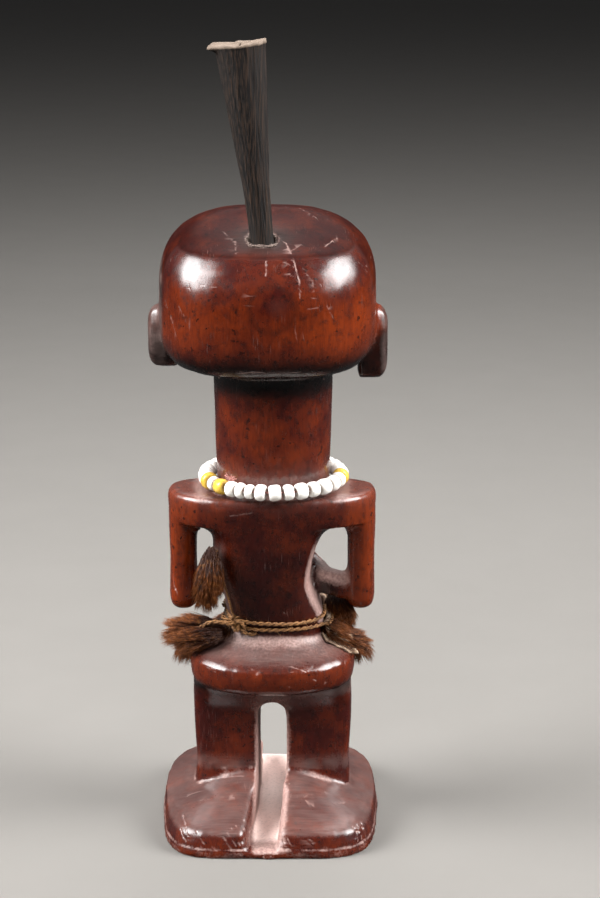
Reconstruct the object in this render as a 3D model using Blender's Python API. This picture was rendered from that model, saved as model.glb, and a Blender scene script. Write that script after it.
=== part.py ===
"""Carved power figure with a crown horn, a bead necklace, a waist cord and strips of animal skin.

Metres, +Z up. The figure faces +Y. The origin is on the floor, under the axis of the neck.
"""
import math

import bmesh
import bpy
from mathutils import Vector

# Heights of the carving, stacked from the floor up
SLAB_THICKNESS = 0.0025
FEET_HEIGHT = 0.0135
LEG_LENGTH = 0.0295
HIP_HEIGHT = 0.0155
TORSO_HEIGHT = 0.043
NECK_LENGTH = 0.036
HEAD_HEIGHT = 0.046

# Base and feet
BASE_WIDTH = 0.0654
BASE_BACK_REACH = 0.0385
BASE_FRONT_REACH = 0.0400
BASE_SHIFT = Vector((-0.0008, 0.0035, 0.0))
HEEL_TAPER = 0.065
FEET_LEDGE = 0.0007
FEET_RIM_HEIGHT = 0.0052
GROOVE_WIDTH = 0.0082
GROOVE_FLARE = 0.0046
GROOVE_SKEW = 0.095
GAP_SHIFT = 0.0005
TOE_COUNT = 5
TOE_GROOVE_WIDTH = 0.0011
TOE_GROOVE_LENGTH = 0.0085

# Legs and hips
LEGS_WIDTH = 0.0474
LEG_BACK_REACH = 0.0052
LEG_FRONT_REACH = 0.0185
LEG_GAP_WIDTH = 0.0087
LEG_GAP_HEIGHT = 0.0358
HIP_WIDTH = 0.0492
HIP_BACK_REACH = 0.0222
HIP_FRONT_REACH = 0.0212

# Torso, shoulders and arms
WAIST_WIDTH = 0.0271
TORSO_BACK_REACH = 0.0184
BELLY_REACH = 0.0255
SHOULDER_WIDTH = 0.0614
SHOULDER_THICKNESS = 0.0096
SHOULDER_FRONT_REACH = 0.0112
ARM_WIDTH = 0.0083
ARM_DEPTH = 0.0146
ELBOW_DROP = 0.0376
FOREARM_THICKNESS = 0.0084
FINGER_THICKNESS = 0.0025
FINGER_COUNT = 4

# Neck, head and face
NECK_FOOT_WIDTH = 0.0330
NECK_TOP_WIDTH = 0.0350
NECK_SHIFT = Vector((0.0004, 0.0, 0.0))
HEAD_WIDTH = 0.0630
HEAD_SHIFT = Vector((-0.0012, 0.0040, 0.0))
HEAD_BACK_REACH = 0.0340
HEAD_FRONT_REACH = 0.0260
CROWN_SLOPE = 0.32
CROWN_FALL = 0.0002
CHIN_DROP = 0.0070
EAR_HEIGHT = 0.0190
RIGHT_EAR_EXTRA = 0.0034
EAR_DEPTH = 0.0088
EAR_REACH = 0.0034
NOSE_LENGTH = 0.0135
NOSE_WIDTH = 0.0088
EYE_WIDTH = 0.0124
MOUTH_WIDTH = 0.0136

# Horn in the crown
HORN_FOOT_WIDTH = 0.0074
HORN_TOP_WIDTH = 0.0156
HORN_LENGTH = 0.0558
HORN_PLACE = Vector((-0.0025, -0.0140, 0.0))
HORN_LEAN = Vector((-0.0060, 0.0008, 0.0))
SOCKET_DEPTH = 0.0065

# Necklace
BEAD_WIDTH = 0.0049
BEAD_PITCH = 0.0036
BEAD_END_SHARE = 0.68
THREAD_WIDTH = 0.0007

# Waist cord, skin and tuft
CORD_WIDTH = 0.0013
CORD_TURN_SPACING = 0.0021
CORD_END_LENGTH = 0.0110
KNOT_WIDTH = 0.0056
SKIN_DEPTH = 0.0175
SKIN_THICKNESS = 0.0028
SKIN_PINCH = 0.0010
TUFT_LENGTH = 0.0196
TUFT_HANGER_LENGTH = 0.0236
TUFT_WIDTH = 0.0052
TUFT_SIDE = 0.80

# Gap left between pieces that touch, and the wider one under the skin, whose facets cross the wood's
CLEARANCE = 0.0003
# Unit of the small bulges and offsets that finish the carving
FINE = 0.001
SKIN_GAP = 0.0009

# Heights worked out from the stack
slab_top = SLAB_THICKNESS
ankle = slab_top + FEET_HEIGHT
hip_bottom = ankle + LEG_LENGTH
waist = hip_bottom + HIP_HEIGHT
shoulder_top = waist + TORSO_HEIGHT
head_bottom = shoulder_top + NECK_LENGTH
crown = head_bottom + HEAD_HEIGHT
shoulder_bottom = shoulder_top - SHOULDER_THICKNESS
elbow_bottom = shoulder_top - ELBOW_DROP

AXIS_X = Vector((1.0, 0.0, 0.0))
AXIS_Y = Vector((0.0, 1.0, 0.0))
AXIS_Z = Vector((0.0, 0.0, 1.0))


def power_curve(share, power):
    """How far an oval of this power still reaches when it has gone this share of its other axis."""
    return max(0.0, 1.0 - min(1.0, abs(share)) ** power) ** (1.0 / power)


def oval_point(angle, power):
    """Point at an angle on an oval of half-widths one: power 2 is round, a higher one squarer."""
    across = math.copysign(abs(math.cos(angle)) ** (2.0 / power), math.cos(angle))
    upright = math.copysign(abs(math.sin(angle)) ** (2.0 / power), math.sin(angle))
    return across, upright


def flat_ring(height, half_width, back, front, power, count, centre=Vector((0.0, 0.0, 0.0))):
    """Level oval whose back and front halves may reach differently far."""
    points = []
    for point in sided_ring(height, half_width, half_width, back, front, power, count):
        points.append(Vector((centre.x + point.x, centre.y + point.y, height)))
    return points


def sided_ring(height, left, right, back, front, power, count):
    """Level oval whose four quarters may reach differently far."""
    points = []
    for step in range(count):
        across, along = oval_point(2.0 * math.pi * step / count, power)
        points.append(sided_place(across, along, left, right, back, front, height))
    return points


def sided_place(across, along, left, right, back, front, height):
    side_reach = right if across > 0.0 else left
    depth_reach = front if along > 0.0 else back
    return Vector((across * side_reach, along * depth_reach, height))


def turned_ring(centre, across_axis, upright_axis, half_across, half_upright, power, count):
    """Oval in the plane of two axes."""
    points = []
    for step in range(count):
        across, upright = oval_point(2.0 * math.pi * (step + 0.5) / count, power)
        offset = across_axis * across * half_across + upright_axis * upright * half_upright
        points.append(centre + offset)
    return points


def mesh_from(shape, name):
    """Turn a bmesh into a mesh with its faces pointing out."""
    bmesh.ops.recalc_face_normals(shape, faces=shape.faces)
    mesh = bpy.data.meshes.new(name)
    shape.to_mesh(mesh)
    shape.free()
    mesh.shade_smooth()
    mesh.set_sharp_from_angle(angle=math.radians(42))
    return mesh


def raised_corner(corner, above):
    """The corner that an extrusion has put over this one."""
    for edge in corner.link_edges:
        if edge.other_vert(corner) in above:
            return edge.other_vert(corner)
    return corner


def loft(rings, name):
    """Solid skin: the first ring is filled and its face is extruded from ring to ring."""
    shape = bmesh.new()
    corners = [shape.verts.new(point) for point in rings[0]]
    first_face = shape.faces.new(corners)
    end_face = first_face
    for points in rings[1:]:
        raised = bmesh.ops.extrude_face_region(shape, geom=[end_face])
        if end_face is not first_face:
            bmesh.ops.delete(shape, geom=[end_face], context="FACES_ONLY")
        end_face = [item for item in raised["geom"] if isinstance(item, bmesh.types.BMFace)][0]
        above = set(end_face.verts)
        corners = [raised_corner(corner, above) for corner in corners]
        for corner, point in zip(corners, points):
            corner.co = point
    return mesh_from(shape, name)


def finish(name, colour, roughness):
    """Plain material with the colour and the gloss of one real surface."""
    material = bpy.data.materials.new(name)
    material.use_nodes = True
    shader = material.node_tree.nodes["Principled BSDF"]
    shader.inputs["Base Color"].default_value = colour
    shader.inputs["Roughness"].default_value = roughness
    shader.inputs["Metallic"].default_value = 0.0
    return material


def add_piece(mesh, name, material):
    """One real piece of the object."""
    piece = bpy.data.objects.new(name, mesh)
    piece.data.materials.append(material)
    bpy.context.scene.collection.objects.link(piece)
    return piece


def add_form(mesh, group):
    """A form that is only joined to the carving or cut from it."""
    form = bpy.data.objects.new(mesh.name, mesh)
    group.objects.link(form)
    form.hide_render = True
    form.display_type = "WIRE"
    return form


def new_group(name):
    group = bpy.data.collections.new(name)
    bpy.context.scene.collection.children.link(group)
    return group


def base_outline(height, inset, size):
    """Outline of the base, squarer at the heels and rounder at the toes."""
    points = []
    count = 36
    for step in range(count):
        angle = 2.0 * math.pi * step / count
        at_front = math.sin(angle) > 0.0
        power = 3.2 if at_front else 5.0
        reach = BASE_FRONT_REACH if at_front else BASE_BACK_REACH
        across, along = oval_point(angle, power)
        y = BASE_SHIFT.y + along * (reach - inset) * size
        narrow = 1.0 - HEEL_TAPER * max(0.0, BASE_SHIFT.y - y) / BASE_BACK_REACH
        x = BASE_SHIFT.x + across * (BASE_WIDTH / 2 - inset) * size * narrow
        points.append(Vector((x, y, height)))
    return points


def slab_mesh():
    shape = bmesh.new()
    corners = [shape.verts.new(point) for point in base_outline(0.0, 0.0, 1.0)]
    floor_face = shape.faces.new(corners)
    raised = bmesh.ops.extrude_face_region(shape, geom=[floor_face])
    top = [item for item in raised["geom"] if isinstance(item, bmesh.types.BMVert)]
    bmesh.ops.translate(shape, verts=top, vec=(0.0, 0.0, SLAB_THICKNESS))
    return mesh_from(shape, "figure")


def feet_mesh():
    """Low mound of the two feet, steep at the rim and then sloping up to the ankles."""
    rim = slab_top + FEET_RIM_HEIGHT
    rings = [base_outline(slab_top / 2, FEET_LEDGE, 1.0)]
    rings.append(base_outline(rim - 1.2 * FINE, FEET_LEDGE, 1.0))
    rings.append(base_outline(rim, FEET_LEDGE, 0.985))
    slope = ankle - rim
    for share, size in ((0.30, 0.79), (0.62, 0.55), (1.02, 0.25)):
        rings.append(base_outline(rim + slope * share, FEET_LEDGE, size))
    return loft(rings, "feet")


def legs_mesh():
    """Both legs as one block: ankles, knees pushed forward, then out under the seat."""
    half = LEGS_WIDTH / 2
    stations = (
        (-0.15, 0.98, 1.30, 0.90),
        (0.12, 0.97, 1.00, 0.92),
        (0.46, 0.995, 1.00, 1.13),
        (0.68, 1.00, 1.15, 1.17),
        (0.90, 1.00, 1.85, 1.05),
        (1.10, 0.98, 3.30, 0.98),
    )
    rings = []
    for share, wide, back, front in stations:
        height = ankle + LEG_LENGTH * share
        back_reach = LEG_BACK_REACH * back
        rings.append(flat_ring(height, half * wide, back_reach, LEG_FRONT_REACH * front, 3.4, 28))
    return loft(rings, "legs")


# Sections of the hips as shares: height, width, back reach, front reach
HIP_SECTIONS = (
    (-0.06, 0.925, 0.83, 0.86),
    (0.07, 0.985, 0.955, 0.955),
    (0.29, 1.0, 1.0, 1.0),
    (0.47, 1.0, 0.985, 1.0),
    (0.56, 0.955, 0.915, 0.985),
    (0.72, 0.735, 0.735, 0.94),
    (0.90, 0.575, 0.60, 0.87),
    (1.03, 0.455, 0.50, 0.76),
)


def hip_reaches(height):
    """Half width, back reach and front reach of the hips at a height."""
    share = (height - hip_bottom) / HIP_HEIGHT
    section = HIP_SECTIONS[0]
    for lower, upper in zip(HIP_SECTIONS, HIP_SECTIONS[1:]):
        if lower[0] <= share:
            blend = min(1.0, (share - lower[0]) / (upper[0] - lower[0]))
            section = [low + (high - low) * blend for low, high in zip(lower, upper)]
    _, wide, back, front = section
    return HIP_WIDTH / 2 * wide, HIP_BACK_REACH * back, HIP_FRONT_REACH * front


def hips_mesh():
    """Seat with a crisp rim, an undercut below and a dished top that climbs to the waist."""
    rings = []
    for share, _, _, _ in HIP_SECTIONS:
        height = hip_bottom + HIP_HEIGHT * share
        half, back, front = hip_reaches(height)
        rings.append(flat_ring(height, half, back, front, 2.4, 30))
    return loft(rings, "hips")


def torso_power(height):
    """The torso is round at the waist and squarer towards the shoulders."""
    share = (height - waist) / TORSO_HEIGHT
    return 2.5 + 2.3 * min(1.0, max(0.0, share)) ** 1.3


# Left and right reach of the torso as shares of half the waist, at shares of its height: it leans
TORSO_SECTIONS = (
    (-0.14, 0.86, 1.09),
    (0.0, 0.86, 1.14),
    (0.11, 0.89, 1.12),
    (0.23, 0.94, 0.95),
    (0.35, 1.03, 0.82),
    (0.49, 1.11, 0.87),
    (0.68, 1.22, 1.03),
    (0.76, 1.40, 1.17),
    (0.93, 1.62, 1.42),
)


def torso_sides(height):
    """Left and right reach of the torso at a height."""
    share = (height - waist) / TORSO_HEIGHT
    section = TORSO_SECTIONS[0]
    for lower, upper in zip(TORSO_SECTIONS, TORSO_SECTIONS[1:]):
        if lower[0] <= share:
            blend = min(1.0, (share - lower[0]) / (upper[0] - lower[0]))
            section = [low + (high - low) * blend for low, high in zip(lower, upper)]
    _, left, right = section
    return WAIST_WIDTH / 2 * left, WAIST_WIDTH / 2 * right


def torso_depths(height):
    """Back and front reach of the torso at a height, with the belly low on its front."""
    share = (height - waist) / TORSO_HEIGHT
    belly = math.exp(-((share - 0.26) / 0.24) ** 2)
    back = TORSO_BACK_REACH * (0.655 + 0.345 * min(1.0, max(0.0, share)) ** 0.85)
    front = BELLY_REACH * (0.49 + 0.06 * (1.0 - share) + 0.45 * belly)
    return back, front


def torso_ring(height, count=30):
    """Level section of the torso at a height."""
    left, right = torso_sides(height)
    back, front = torso_depths(height)
    return sided_ring(height, left, right, back, front, torso_power(height), count)


def torso_mesh():
    return loft([torso_ring(waist + TORSO_HEIGHT * share) for share, _, _ in TORSO_SECTIONS], "torso")


def shoulders_mesh():
    """Flat-topped yoke with a rounded rim that carries both arms."""
    half = SHOULDER_WIDTH / 2
    stations = (
        (0.0, 0.975, 0.93, 0.90),
        (0.30, 0.99, 0.965, 0.97),
        (0.68, 1.0, 1.0, 1.0),
        (0.88, 0.99, 0.995, 0.98),
        (0.97, 0.965, 0.955, 0.93),
        (1.0, 0.92, 0.89, 0.86),
    )
    rings = []
    for share, wide, back, front in stations:
        rings.append(flat_ring(shoulder_bottom + SHOULDER_THICKNESS * share, half * wide,
                               TORSO_BACK_REACH * back, SHOULDER_FRONT_REACH * front, 2.4, 30))
    return loft(rings, "shoulders")


def arm_centre_x():
    return SHOULDER_WIDTH / 2 - ARM_WIDTH / 2 - CLEARANCE


def upper_arm_mesh(side):
    """Upper arm hanging straight from the yoke to a rounded elbow."""
    x = side * arm_centre_x()
    height = shoulder_top - elbow_bottom
    stations = (
        (0.0, 0.62, 0.66, 2 * FINE),
        (0.03, 0.90, 0.88, 1.6 * FINE),
        (0.09, 1.0, 0.98, 0.8 * FINE),
        (0.45, 0.96, 0.95, -0.6 * FINE),
        (0.66, 1.0, 0.96, -1.4 * FINE),
        (0.84, 1.0, 0.90, -1.8 * FINE),
    )
    rings = []
    for share, wide, deep, forward in stations:
        centre = Vector((x, forward, 0.0))
        rings.append(flat_ring(elbow_bottom + height * share, ARM_WIDTH / 2 * wide,
                               ARM_DEPTH / 2 * deep, ARM_DEPTH / 2 * deep, 2.6, 12, centre))
    return loft(rings, "upper_arm")


def belly_front(x, height):
    """Depth of the torso's front surface at a place across and a height."""
    left, right = torso_sides(height)
    _, front = torso_depths(height)
    return front * power_curve(x / (right if x > 0.0 else left), torso_power(height))


def forearm_route(side):
    """Middle line of the forearm, from the elbow round to the back of the hand."""
    level = elbow_bottom + FOREARM_THICKNESS / 2 + 1.2 * FINE
    start = Vector((side * arm_centre_x(), 2 * FINE, level))
    hand_x = WAIST_WIDTH / 2 * 0.92
    hand_height = level + 3 * FINE
    end = Vector((side * hand_x, belly_front(hand_x, hand_height) + 1.2 * FINE, hand_height))
    bend = Vector((start.x - side * 1.2 * FINE, end.y - 5 * FINE, level + 1 * FINE))
    points = []
    for step in range(6):
        share = step / 5
        near = start.lerp(bend, share)
        points.append(near.lerp(bend.lerp(end, share), share))
    return points


def route_rings(route, widths, heights, power, count):
    """Upright ovals square to a route, which turns them as it bends."""
    rings = []
    for index, point in enumerate(route):
        before = route[max(0, index - 1)]
        after = route[min(len(route) - 1, index + 1)]
        heading = (after - before).normalized()
        guide = AXIS_Z if abs(heading.z) < 0.8 else AXIS_Y
        across = heading.cross(guide).normalized()
        upright = across.cross(heading).normalized()
        half_width = widths[index] / 2
        rings.append(turned_ring(point, across, upright, half_width, heights[index] / 2, power, count))
    return rings


def forearm_mesh(side):
    route = forearm_route(side)
    last = len(route) - 1
    widths = [FOREARM_THICKNESS * (0.92 - 0.20 * index / last) for index in range(last + 1)]
    heights = [FOREARM_THICKNESS * (1.0 - 0.06 * index / last) for index in range(last + 1)]
    return loft(route_rings(route, widths, heights, 2.8, 10), "forearm")


def finger_mesh(side, number):
    """One finger laid level on the belly towards the navel, the outer ones a little shorter."""
    root = forearm_route(side)[-1]
    height = root.z + FINGER_THICKNESS * 0.93 * (number - (FINGER_COUNT - 1) / 2)
    shorten = 1.1 * FINE * abs(number - 1.6)
    root_x = abs(root.x)
    tip_x = 2.4 * FINE + shorten
    route = []
    for step in range(4):
        x = root_x + (tip_x - root_x) * step / 3
        route.append(Vector((side * x, belly_front(x, height) - 0.3 * FINE, height)))
    widths = [FINGER_THICKNESS * share for share in (1.7, 1.6, 1.5, 1.1)]
    heights = [FINGER_THICKNESS * share for share in (1.05, 1.05, 1.0, 0.75)]
    return loft(route_rings(route, widths, heights, 2.3, 6), "finger")


def thumb_mesh(side):
    root = forearm_route(side)[-2]
    start = root + Vector((0.0, 0.0, FOREARM_THICKNESS * 0.30))
    lift = FINGER_THICKNESS * (FINGER_COUNT / 2 + 0.9)
    tip_x = abs(root.x) * 0.52
    tip_height = root.z + lift
    tip = Vector((side * tip_x, belly_front(tip_x, tip_height) + 0.4 * FINE, tip_height))
    route = [start.lerp(tip, share / 3) for share in range(4)]
    sizes = [FINGER_THICKNESS * share for share in (1.2, 1.1, 1.0, 0.72)]
    return loft(route_rings(route, sizes, sizes, 2.2, 6), "thumb")


def navel_mesh():
    height = waist + TORSO_HEIGHT * 0.178
    surface = belly_front(0.0, height)
    rings = []
    stations = (
        (-2 * FINE, 2.4 * FINE),
        (0.4 * FINE, 2.3 * FINE),
        (1.1 * FINE, 1.4 * FINE),
    )
    for depth, radius in stations:
        centre = Vector((0.0, surface + depth, height))
        rings.append(turned_ring(centre, AXIS_X, AXIS_Z, radius, radius, 2.0, 10))
    return loft(rings, "navel")


def neck_half_width(height):
    share = (height - shoulder_top) / NECK_LENGTH
    return (NECK_FOOT_WIDTH + (NECK_TOP_WIDTH - NECK_FOOT_WIDTH) * share) / 2


def neck_mesh():
    rings = []
    for share in (-0.14, 0.45, 1.15):
        height = shoulder_top + NECK_LENGTH * share
        half = neck_half_width(height)
        rings.append(flat_ring(height, half, half, half, 2.15, 32, NECK_SHIFT))
    return loft(rings, "neck")


head_middle = head_bottom + HEAD_HEIGHT * 0.49


def head_shares(height):
    """Width, back reach and front reach of the head at a height, as shares of the largest."""
    if height > head_middle:
        rise = (height - head_middle) / (crown - head_middle)
        flat = max(0.03, (crown - CROWN_FALL - height) / CROWN_SLOPE / HEAD_BACK_REACH)
        return power_curve(rise, 2.7), min(flat, power_curve(rise, 2.0)), power_curve(rise, 2.3)
    drop = (head_middle - height) / (head_middle - head_bottom)
    return power_curve(drop, 5.4), power_curve(drop, 6.0), power_curve(drop, 3.4)


def head_ring(height, count=32):
    wide, back, front = head_shares(height)
    return flat_ring(height, HEAD_WIDTH / 2 * wide, HEAD_BACK_REACH * back,
                     HEAD_FRONT_REACH * front, 2.7, count, HEAD_SHIFT)


def head_mesh():
    below = 5
    above = 7
    lowest = [head_middle - (head_middle - head_bottom) * math.sin(math.radians(80 * step / below))
              for step in range(below, 0, -1)]
    highest = [head_middle + (crown - head_middle) * math.sin(math.radians(84 * step / above))
               for step in range(above + 1)]
    return loft([head_ring(height) for height in lowest + highest], "head")


def face_front(x, height):
    """Depth of the head's front surface at a place across and a height."""
    wide, _, front = head_shares(max(height, head_bottom + CHIN_DROP))
    share = (x - HEAD_SHIFT.x) / (HEAD_WIDTH / 2 * wide)
    return HEAD_SHIFT.y + HEAD_FRONT_REACH * front * power_curve(share, 2.7)


def crown_height(y):
    """Height of the sloping flat behind the crown at a depth."""
    return crown - CROWN_FALL - CROWN_SLOPE * (HEAD_SHIFT.y - y)


def ear_mesh(side):
    """Upright lug on the side of the head."""
    extra = RIGHT_EAR_EXTRA / 2 if side > 0 else 0.0
    half_height = EAR_HEIGHT / 2 + extra
    middle = Vector((HEAD_SHIFT.x, HEAD_SHIFT.y + 3 * FINE, head_bottom + HEAD_HEIGHT * 0.16 - extra))
    rings = []
    stations = ((-5 * FINE, 1.0), (EAR_REACH * 0.4, 1.0), (EAR_REACH * 0.8, 0.88), (EAR_REACH, 0.64))
    for reach, size in stations:
        centre = middle + AXIS_X * side * (HEAD_WIDTH / 2 + reach)
        rings.append(turned_ring(centre, AXIS_Y, AXIS_Z, EAR_DEPTH / 2 * size, half_height * size, 2.8, 10))
    return loft(rings, "ear")


def brow_mesh():
    """One low arched ridge above both eyes."""
    height = head_bottom + HEAD_HEIGHT * 0.585
    span = EYE_WIDTH * 1.85
    route = []
    for step in range(11):
        x = HEAD_SHIFT.x + span * (step / 5 - 1.0)
        arch = math.cos(math.pi * (abs(step / 5 - 1.0) - 0.45)) * 1.6 * FINE
        route.append(Vector((x, face_front(x, height) - 0.2 * FINE, height + arch)))
    sizes = [2.4 * FINE + 1.3 * FINE * power_curve(step / 5 - 1.0, 2.0) for step in range(11)]
    return loft(route_rings(route, sizes, sizes, 2.0, 6), "brow")


def eye_mesh(side):
    """Almond eye with a closed calm lid."""
    x = HEAD_SHIFT.x + side * EYE_WIDTH * 1.05
    height = head_bottom + HEAD_HEIGHT * 0.485
    rings = []
    for depth, size in ((-3 * FINE, 1.0), (0.0, 1.0), (0.9 * FINE, 0.78), (1.3 * FINE, 0.40)):
        centre = Vector((x, face_front(x, height) + depth, height))
        half = EYE_WIDTH / 2 * size
        rings.append(turned_ring(centre, AXIS_X, AXIS_Z, half, half * 0.40, 1.7, 10))
    return loft(rings, "eye")


def nose_mesh():
    """Plain wedge that widens to the nostrils."""
    top = head_bottom + HEAD_HEIGHT * 0.575
    rings = []
    for share, wide, out in ((0.0, 0.34, 0.6 * FINE), (0.35, 0.42, 2.1 * FINE), (0.70, 0.66, 3.8 * FINE),
                             (0.90, 1.0, 5 * FINE), (1.0, 0.94, 4.4 * FINE)):
        height = top - NOSE_LENGTH * share
        surface = face_front(HEAD_SHIFT.x, height)
        centre = Vector((HEAD_SHIFT.x, surface - 2 * FINE, 0.0))
        rings.append(flat_ring(height, NOSE_WIDTH / 2 * wide, 2 * FINE, 2 * FINE + out, 2.2, 12, centre))
    return loft(rings, "nose")


def mouth_mesh(lip):
    """One lip, upper (1) or lower (-1), of a small closed mouth."""
    height = head_bottom + HEAD_HEIGHT * 0.155 + lip * 1.3 * FINE
    front = HEAD_SHIFT.y + HEAD_FRONT_REACH * JAW_SECTIONS[4][2]
    route = []
    for step in range(5):
        x = HEAD_SHIFT.x + MOUTH_WIDTH / 2 * (step / 2 - 1.0)
        bow = 1.2 * FINE * (1.0 - abs(step / 2 - 1.0))
        route.append(Vector((x, front + bow - 0.6 * FINE, height)))
    sizes = [1 * FINE + 1.2 * FINE * power_curve(step / 2 - 1.0, 2.0) for step in range(5)]
    return loft(route_rings(route, sizes, sizes, 2.0, 6), "lip")


# Sections of the jaw as shares: height, width, front reach
JAW_SECTIONS = (
    (0.0, 0.24, 0.87),
    (0.20, 0.38, 0.95),
    (0.55, 0.52, 0.985),
    (1.0, 0.62, 0.985),
    (1.8, 0.70, 0.965),
    (2.7, 0.74, 0.90),
)


def jaw_mesh():
    """Jaw that narrows from the cheeks down to a rounded chin."""
    rings = []
    for share, wide, front in JAW_SECTIONS:
        height = head_bottom - CHIN_DROP * (1.0 - share)
        reach = HEAD_FRONT_REACH * 0.55
        centre = HEAD_SHIFT + AXIS_Y * (HEAD_FRONT_REACH * front - reach)
        half = HEAD_WIDTH / 2 * wide
        rings.append(flat_ring(height, half, HEAD_FRONT_REACH * 0.4, reach, 2.5, 18, centre))
    return loft(rings, "jaw")


def groove_middle(y):
    """The gap runs straight under the body and slants to one side between the heels."""
    straight_from = 3 * FINE
    return GAP_SHIFT + GROOVE_SKEW * min(0.0, y - straight_from)


def arch_ring(y, width, height):
    """Upright arch: flat foot on the slab, straight sides and a round top."""
    x = groove_middle(y)
    half = width / 2
    points = [Vector((x - half, y, slab_top)), Vector((x + half, y, slab_top))]
    for step in range(7):
        angle = math.pi * step / 6
        points.append(Vector((x + half * math.cos(angle), y, height - half + half * math.sin(angle))))
    return points


def leg_gap_mesh():
    back_edge = BASE_SHIFT.y - BASE_BACK_REACH
    front_edge = BASE_SHIFT.y + BASE_FRONT_REACH
    top = slab_top + LEG_GAP_HEIGHT
    stations = (
        (back_edge - 4 * FINE, GROOVE_WIDTH + GROOVE_FLARE),
        (back_edge + 3 * FINE, GROOVE_WIDTH + GROOVE_FLARE * 0.2),
        (-LEG_BACK_REACH * 2.4, GROOVE_WIDTH),
        (-LEG_BACK_REACH * 0.5, LEG_GAP_WIDTH),
        (LEG_FRONT_REACH, LEG_GAP_WIDTH),
        (front_edge - 8 * FINE, GROOVE_WIDTH),
        (front_edge + 4 * FINE, GROOVE_WIDTH + GROOVE_FLARE),
    )
    return loft([arch_ring(y, width, top) for y, width in stations], "leg_gap")


def toe_groove_mesh(side, number):
    """Wedge cut between two toes, running straight back from the toe edge."""
    foot_inner = GROOVE_WIDTH / 2
    foot_width = BASE_WIDTH * 0.36
    x = BASE_SHIFT.x * 0.5 + side * (foot_inner + foot_width * number / TOE_COUNT)
    across = (x - BASE_SHIFT.x) / (BASE_WIDTH / 2)
    edge = BASE_SHIFT.y + BASE_FRONT_REACH * power_curve(across, 2.5)
    floor = slab_top + 0.8 * FINE
    rings = []
    stations = (
        (edge - TOE_GROOVE_LENGTH, 0.5),
        (edge - TOE_GROOVE_LENGTH * 0.6, 1.0),
        (edge + 3 * FINE, 1.3),
    )
    for y, wide in stations:
        half = TOE_GROOVE_WIDTH * wide
        rise = FEET_HEIGHT * (0.62 if y < edge - TOE_GROOVE_LENGTH * 0.8 else 0.40)
        rings.append([
            Vector((x, y, floor + (rise * 0.75 if wide < 0.9 else 0.0))),
            Vector((x + half, y, slab_top + rise + 4 * FINE)),
            Vector((x - half, y, slab_top + rise + 4 * FINE)),
        ])
    return loft(rings, "toe_groove")


def horn_axis_point(share):
    """Point on the horn's middle line, from the crown's surface (0) to the cut top (1)."""
    foot = Vector((HORN_PLACE.x, HORN_PLACE.y, crown_height(HORN_PLACE.y)))
    top = foot + HORN_LEAN + AXIS_Z * HORN_LENGTH
    return foot.lerp(top, share)


def socket_mesh():
    """Round socket that takes the horn's foot with a clearance all round."""
    foot = horn_axis_point(0.0)
    heading = (horn_axis_point(1.0) - foot).normalized()
    across = heading.cross(AXIS_Y).normalized()
    upright = across.cross(heading).normalized()
    radius = HORN_FOOT_WIDTH / 2 + CLEARANCE * 1.5
    rings = []
    for depth in (-SOCKET_DEPTH, HORN_LENGTH * 0.25):
        rings.append(turned_ring(foot + heading * depth, across, upright, radius, radius, 2.0, 18))
    return loft(rings, "socket")


def horn_mesh():
    """Tapered horn, tip down in its socket, oval and a little bowed, with a flat cut top."""
    foot = horn_axis_point(0.0)
    heading = (horn_axis_point(1.0) - foot).normalized()
    across = heading.cross(AXIS_Y).normalized()
    upright = across.cross(heading).normalized()
    foot_half = HORN_FOOT_WIDTH / 2
    growth = (HORN_TOP_WIDTH - HORN_FOOT_WIDTH) / 2
    buried = SOCKET_DEPTH - CLEARANCE * 2
    tip_half = foot_half * 0.84
    rings = [turned_ring(foot - heading * buried, across, upright, tip_half, tip_half, 2.0, 12)]
    rings.append(turned_ring(foot - heading * (buried * 0.8), across, upright,
                             foot_half * 0.97, foot_half * 0.97, 2.0, 12))
    for step in range(7):
        share = step / 6
        half = foot_half + growth * share ** 0.92
        bow = across * math.sin(math.pi * share) * 0.6 * FINE
        centre = foot + heading * (HORN_LENGTH * share) - bow
        rings.append(turned_ring(centre, across, upright, half, half * (1.0 - 0.06 * share), 2.0, 12))
    return loft(rings, "crown_horn")


bead_ring_half = neck_half_width(shoulder_top + BEAD_WIDTH / 2) + CLEARANCE * 1.4 + BEAD_WIDTH * 0.55
bead_level = shoulder_top + BEAD_WIDTH * 0.55 + CLEARANCE

# Beads in order round the back, from the left of the neck to the right: colour, length and width shares
BACK_BEADS = (
    ("white", 1.0, 0.98), ("white", 0.96, 1.0), ("yellow", 1.02, 1.09), ("white", 0.78, 0.90),
    ("yellow", 1.28, 0.98), ("white", 0.96, 0.98), ("white", 0.80, 0.97), ("white", 0.80, 0.90),
    ("white", 1.02, 1.02), ("white", 1.20, 0.99), ("white", 0.98, 0.96), ("white", 1.18, 1.0),
    ("white", 1.04, 0.95), ("white", 1.24, 1.0), ("white", 1.14, 0.98), ("white", 1.10, 0.97),
    ("yellow", 1.06, 1.04), ("white", 1.0, 0.98), ("white", 0.94, 0.96),
)
BACK_BEADS_START = math.radians(-95)


def bead_plan():
    """Colour, middle angle, pitch and width of every bead, so that they close the ring."""
    around = 2.0 * math.pi * bead_ring_half
    shown = [(colour, BEAD_PITCH * long, BEAD_WIDTH * wide) for colour, long, wide in BACK_BEADS]
    left = around - sum(pitch for _, pitch, _ in shown)
    hidden = max(1, round(left / BEAD_PITCH))
    rest = [("white", left / hidden, BEAD_WIDTH * (0.97 + 0.03 * math.sin(index * 2.4)))
            for index in range(hidden)]
    plan = []
    angle = BACK_BEADS_START
    for colour, pitch, width in shown + rest:
        turn = pitch / bead_ring_half
        plan.append((colour, angle + turn / 2, pitch, width))
        angle += turn
    return plan


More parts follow.
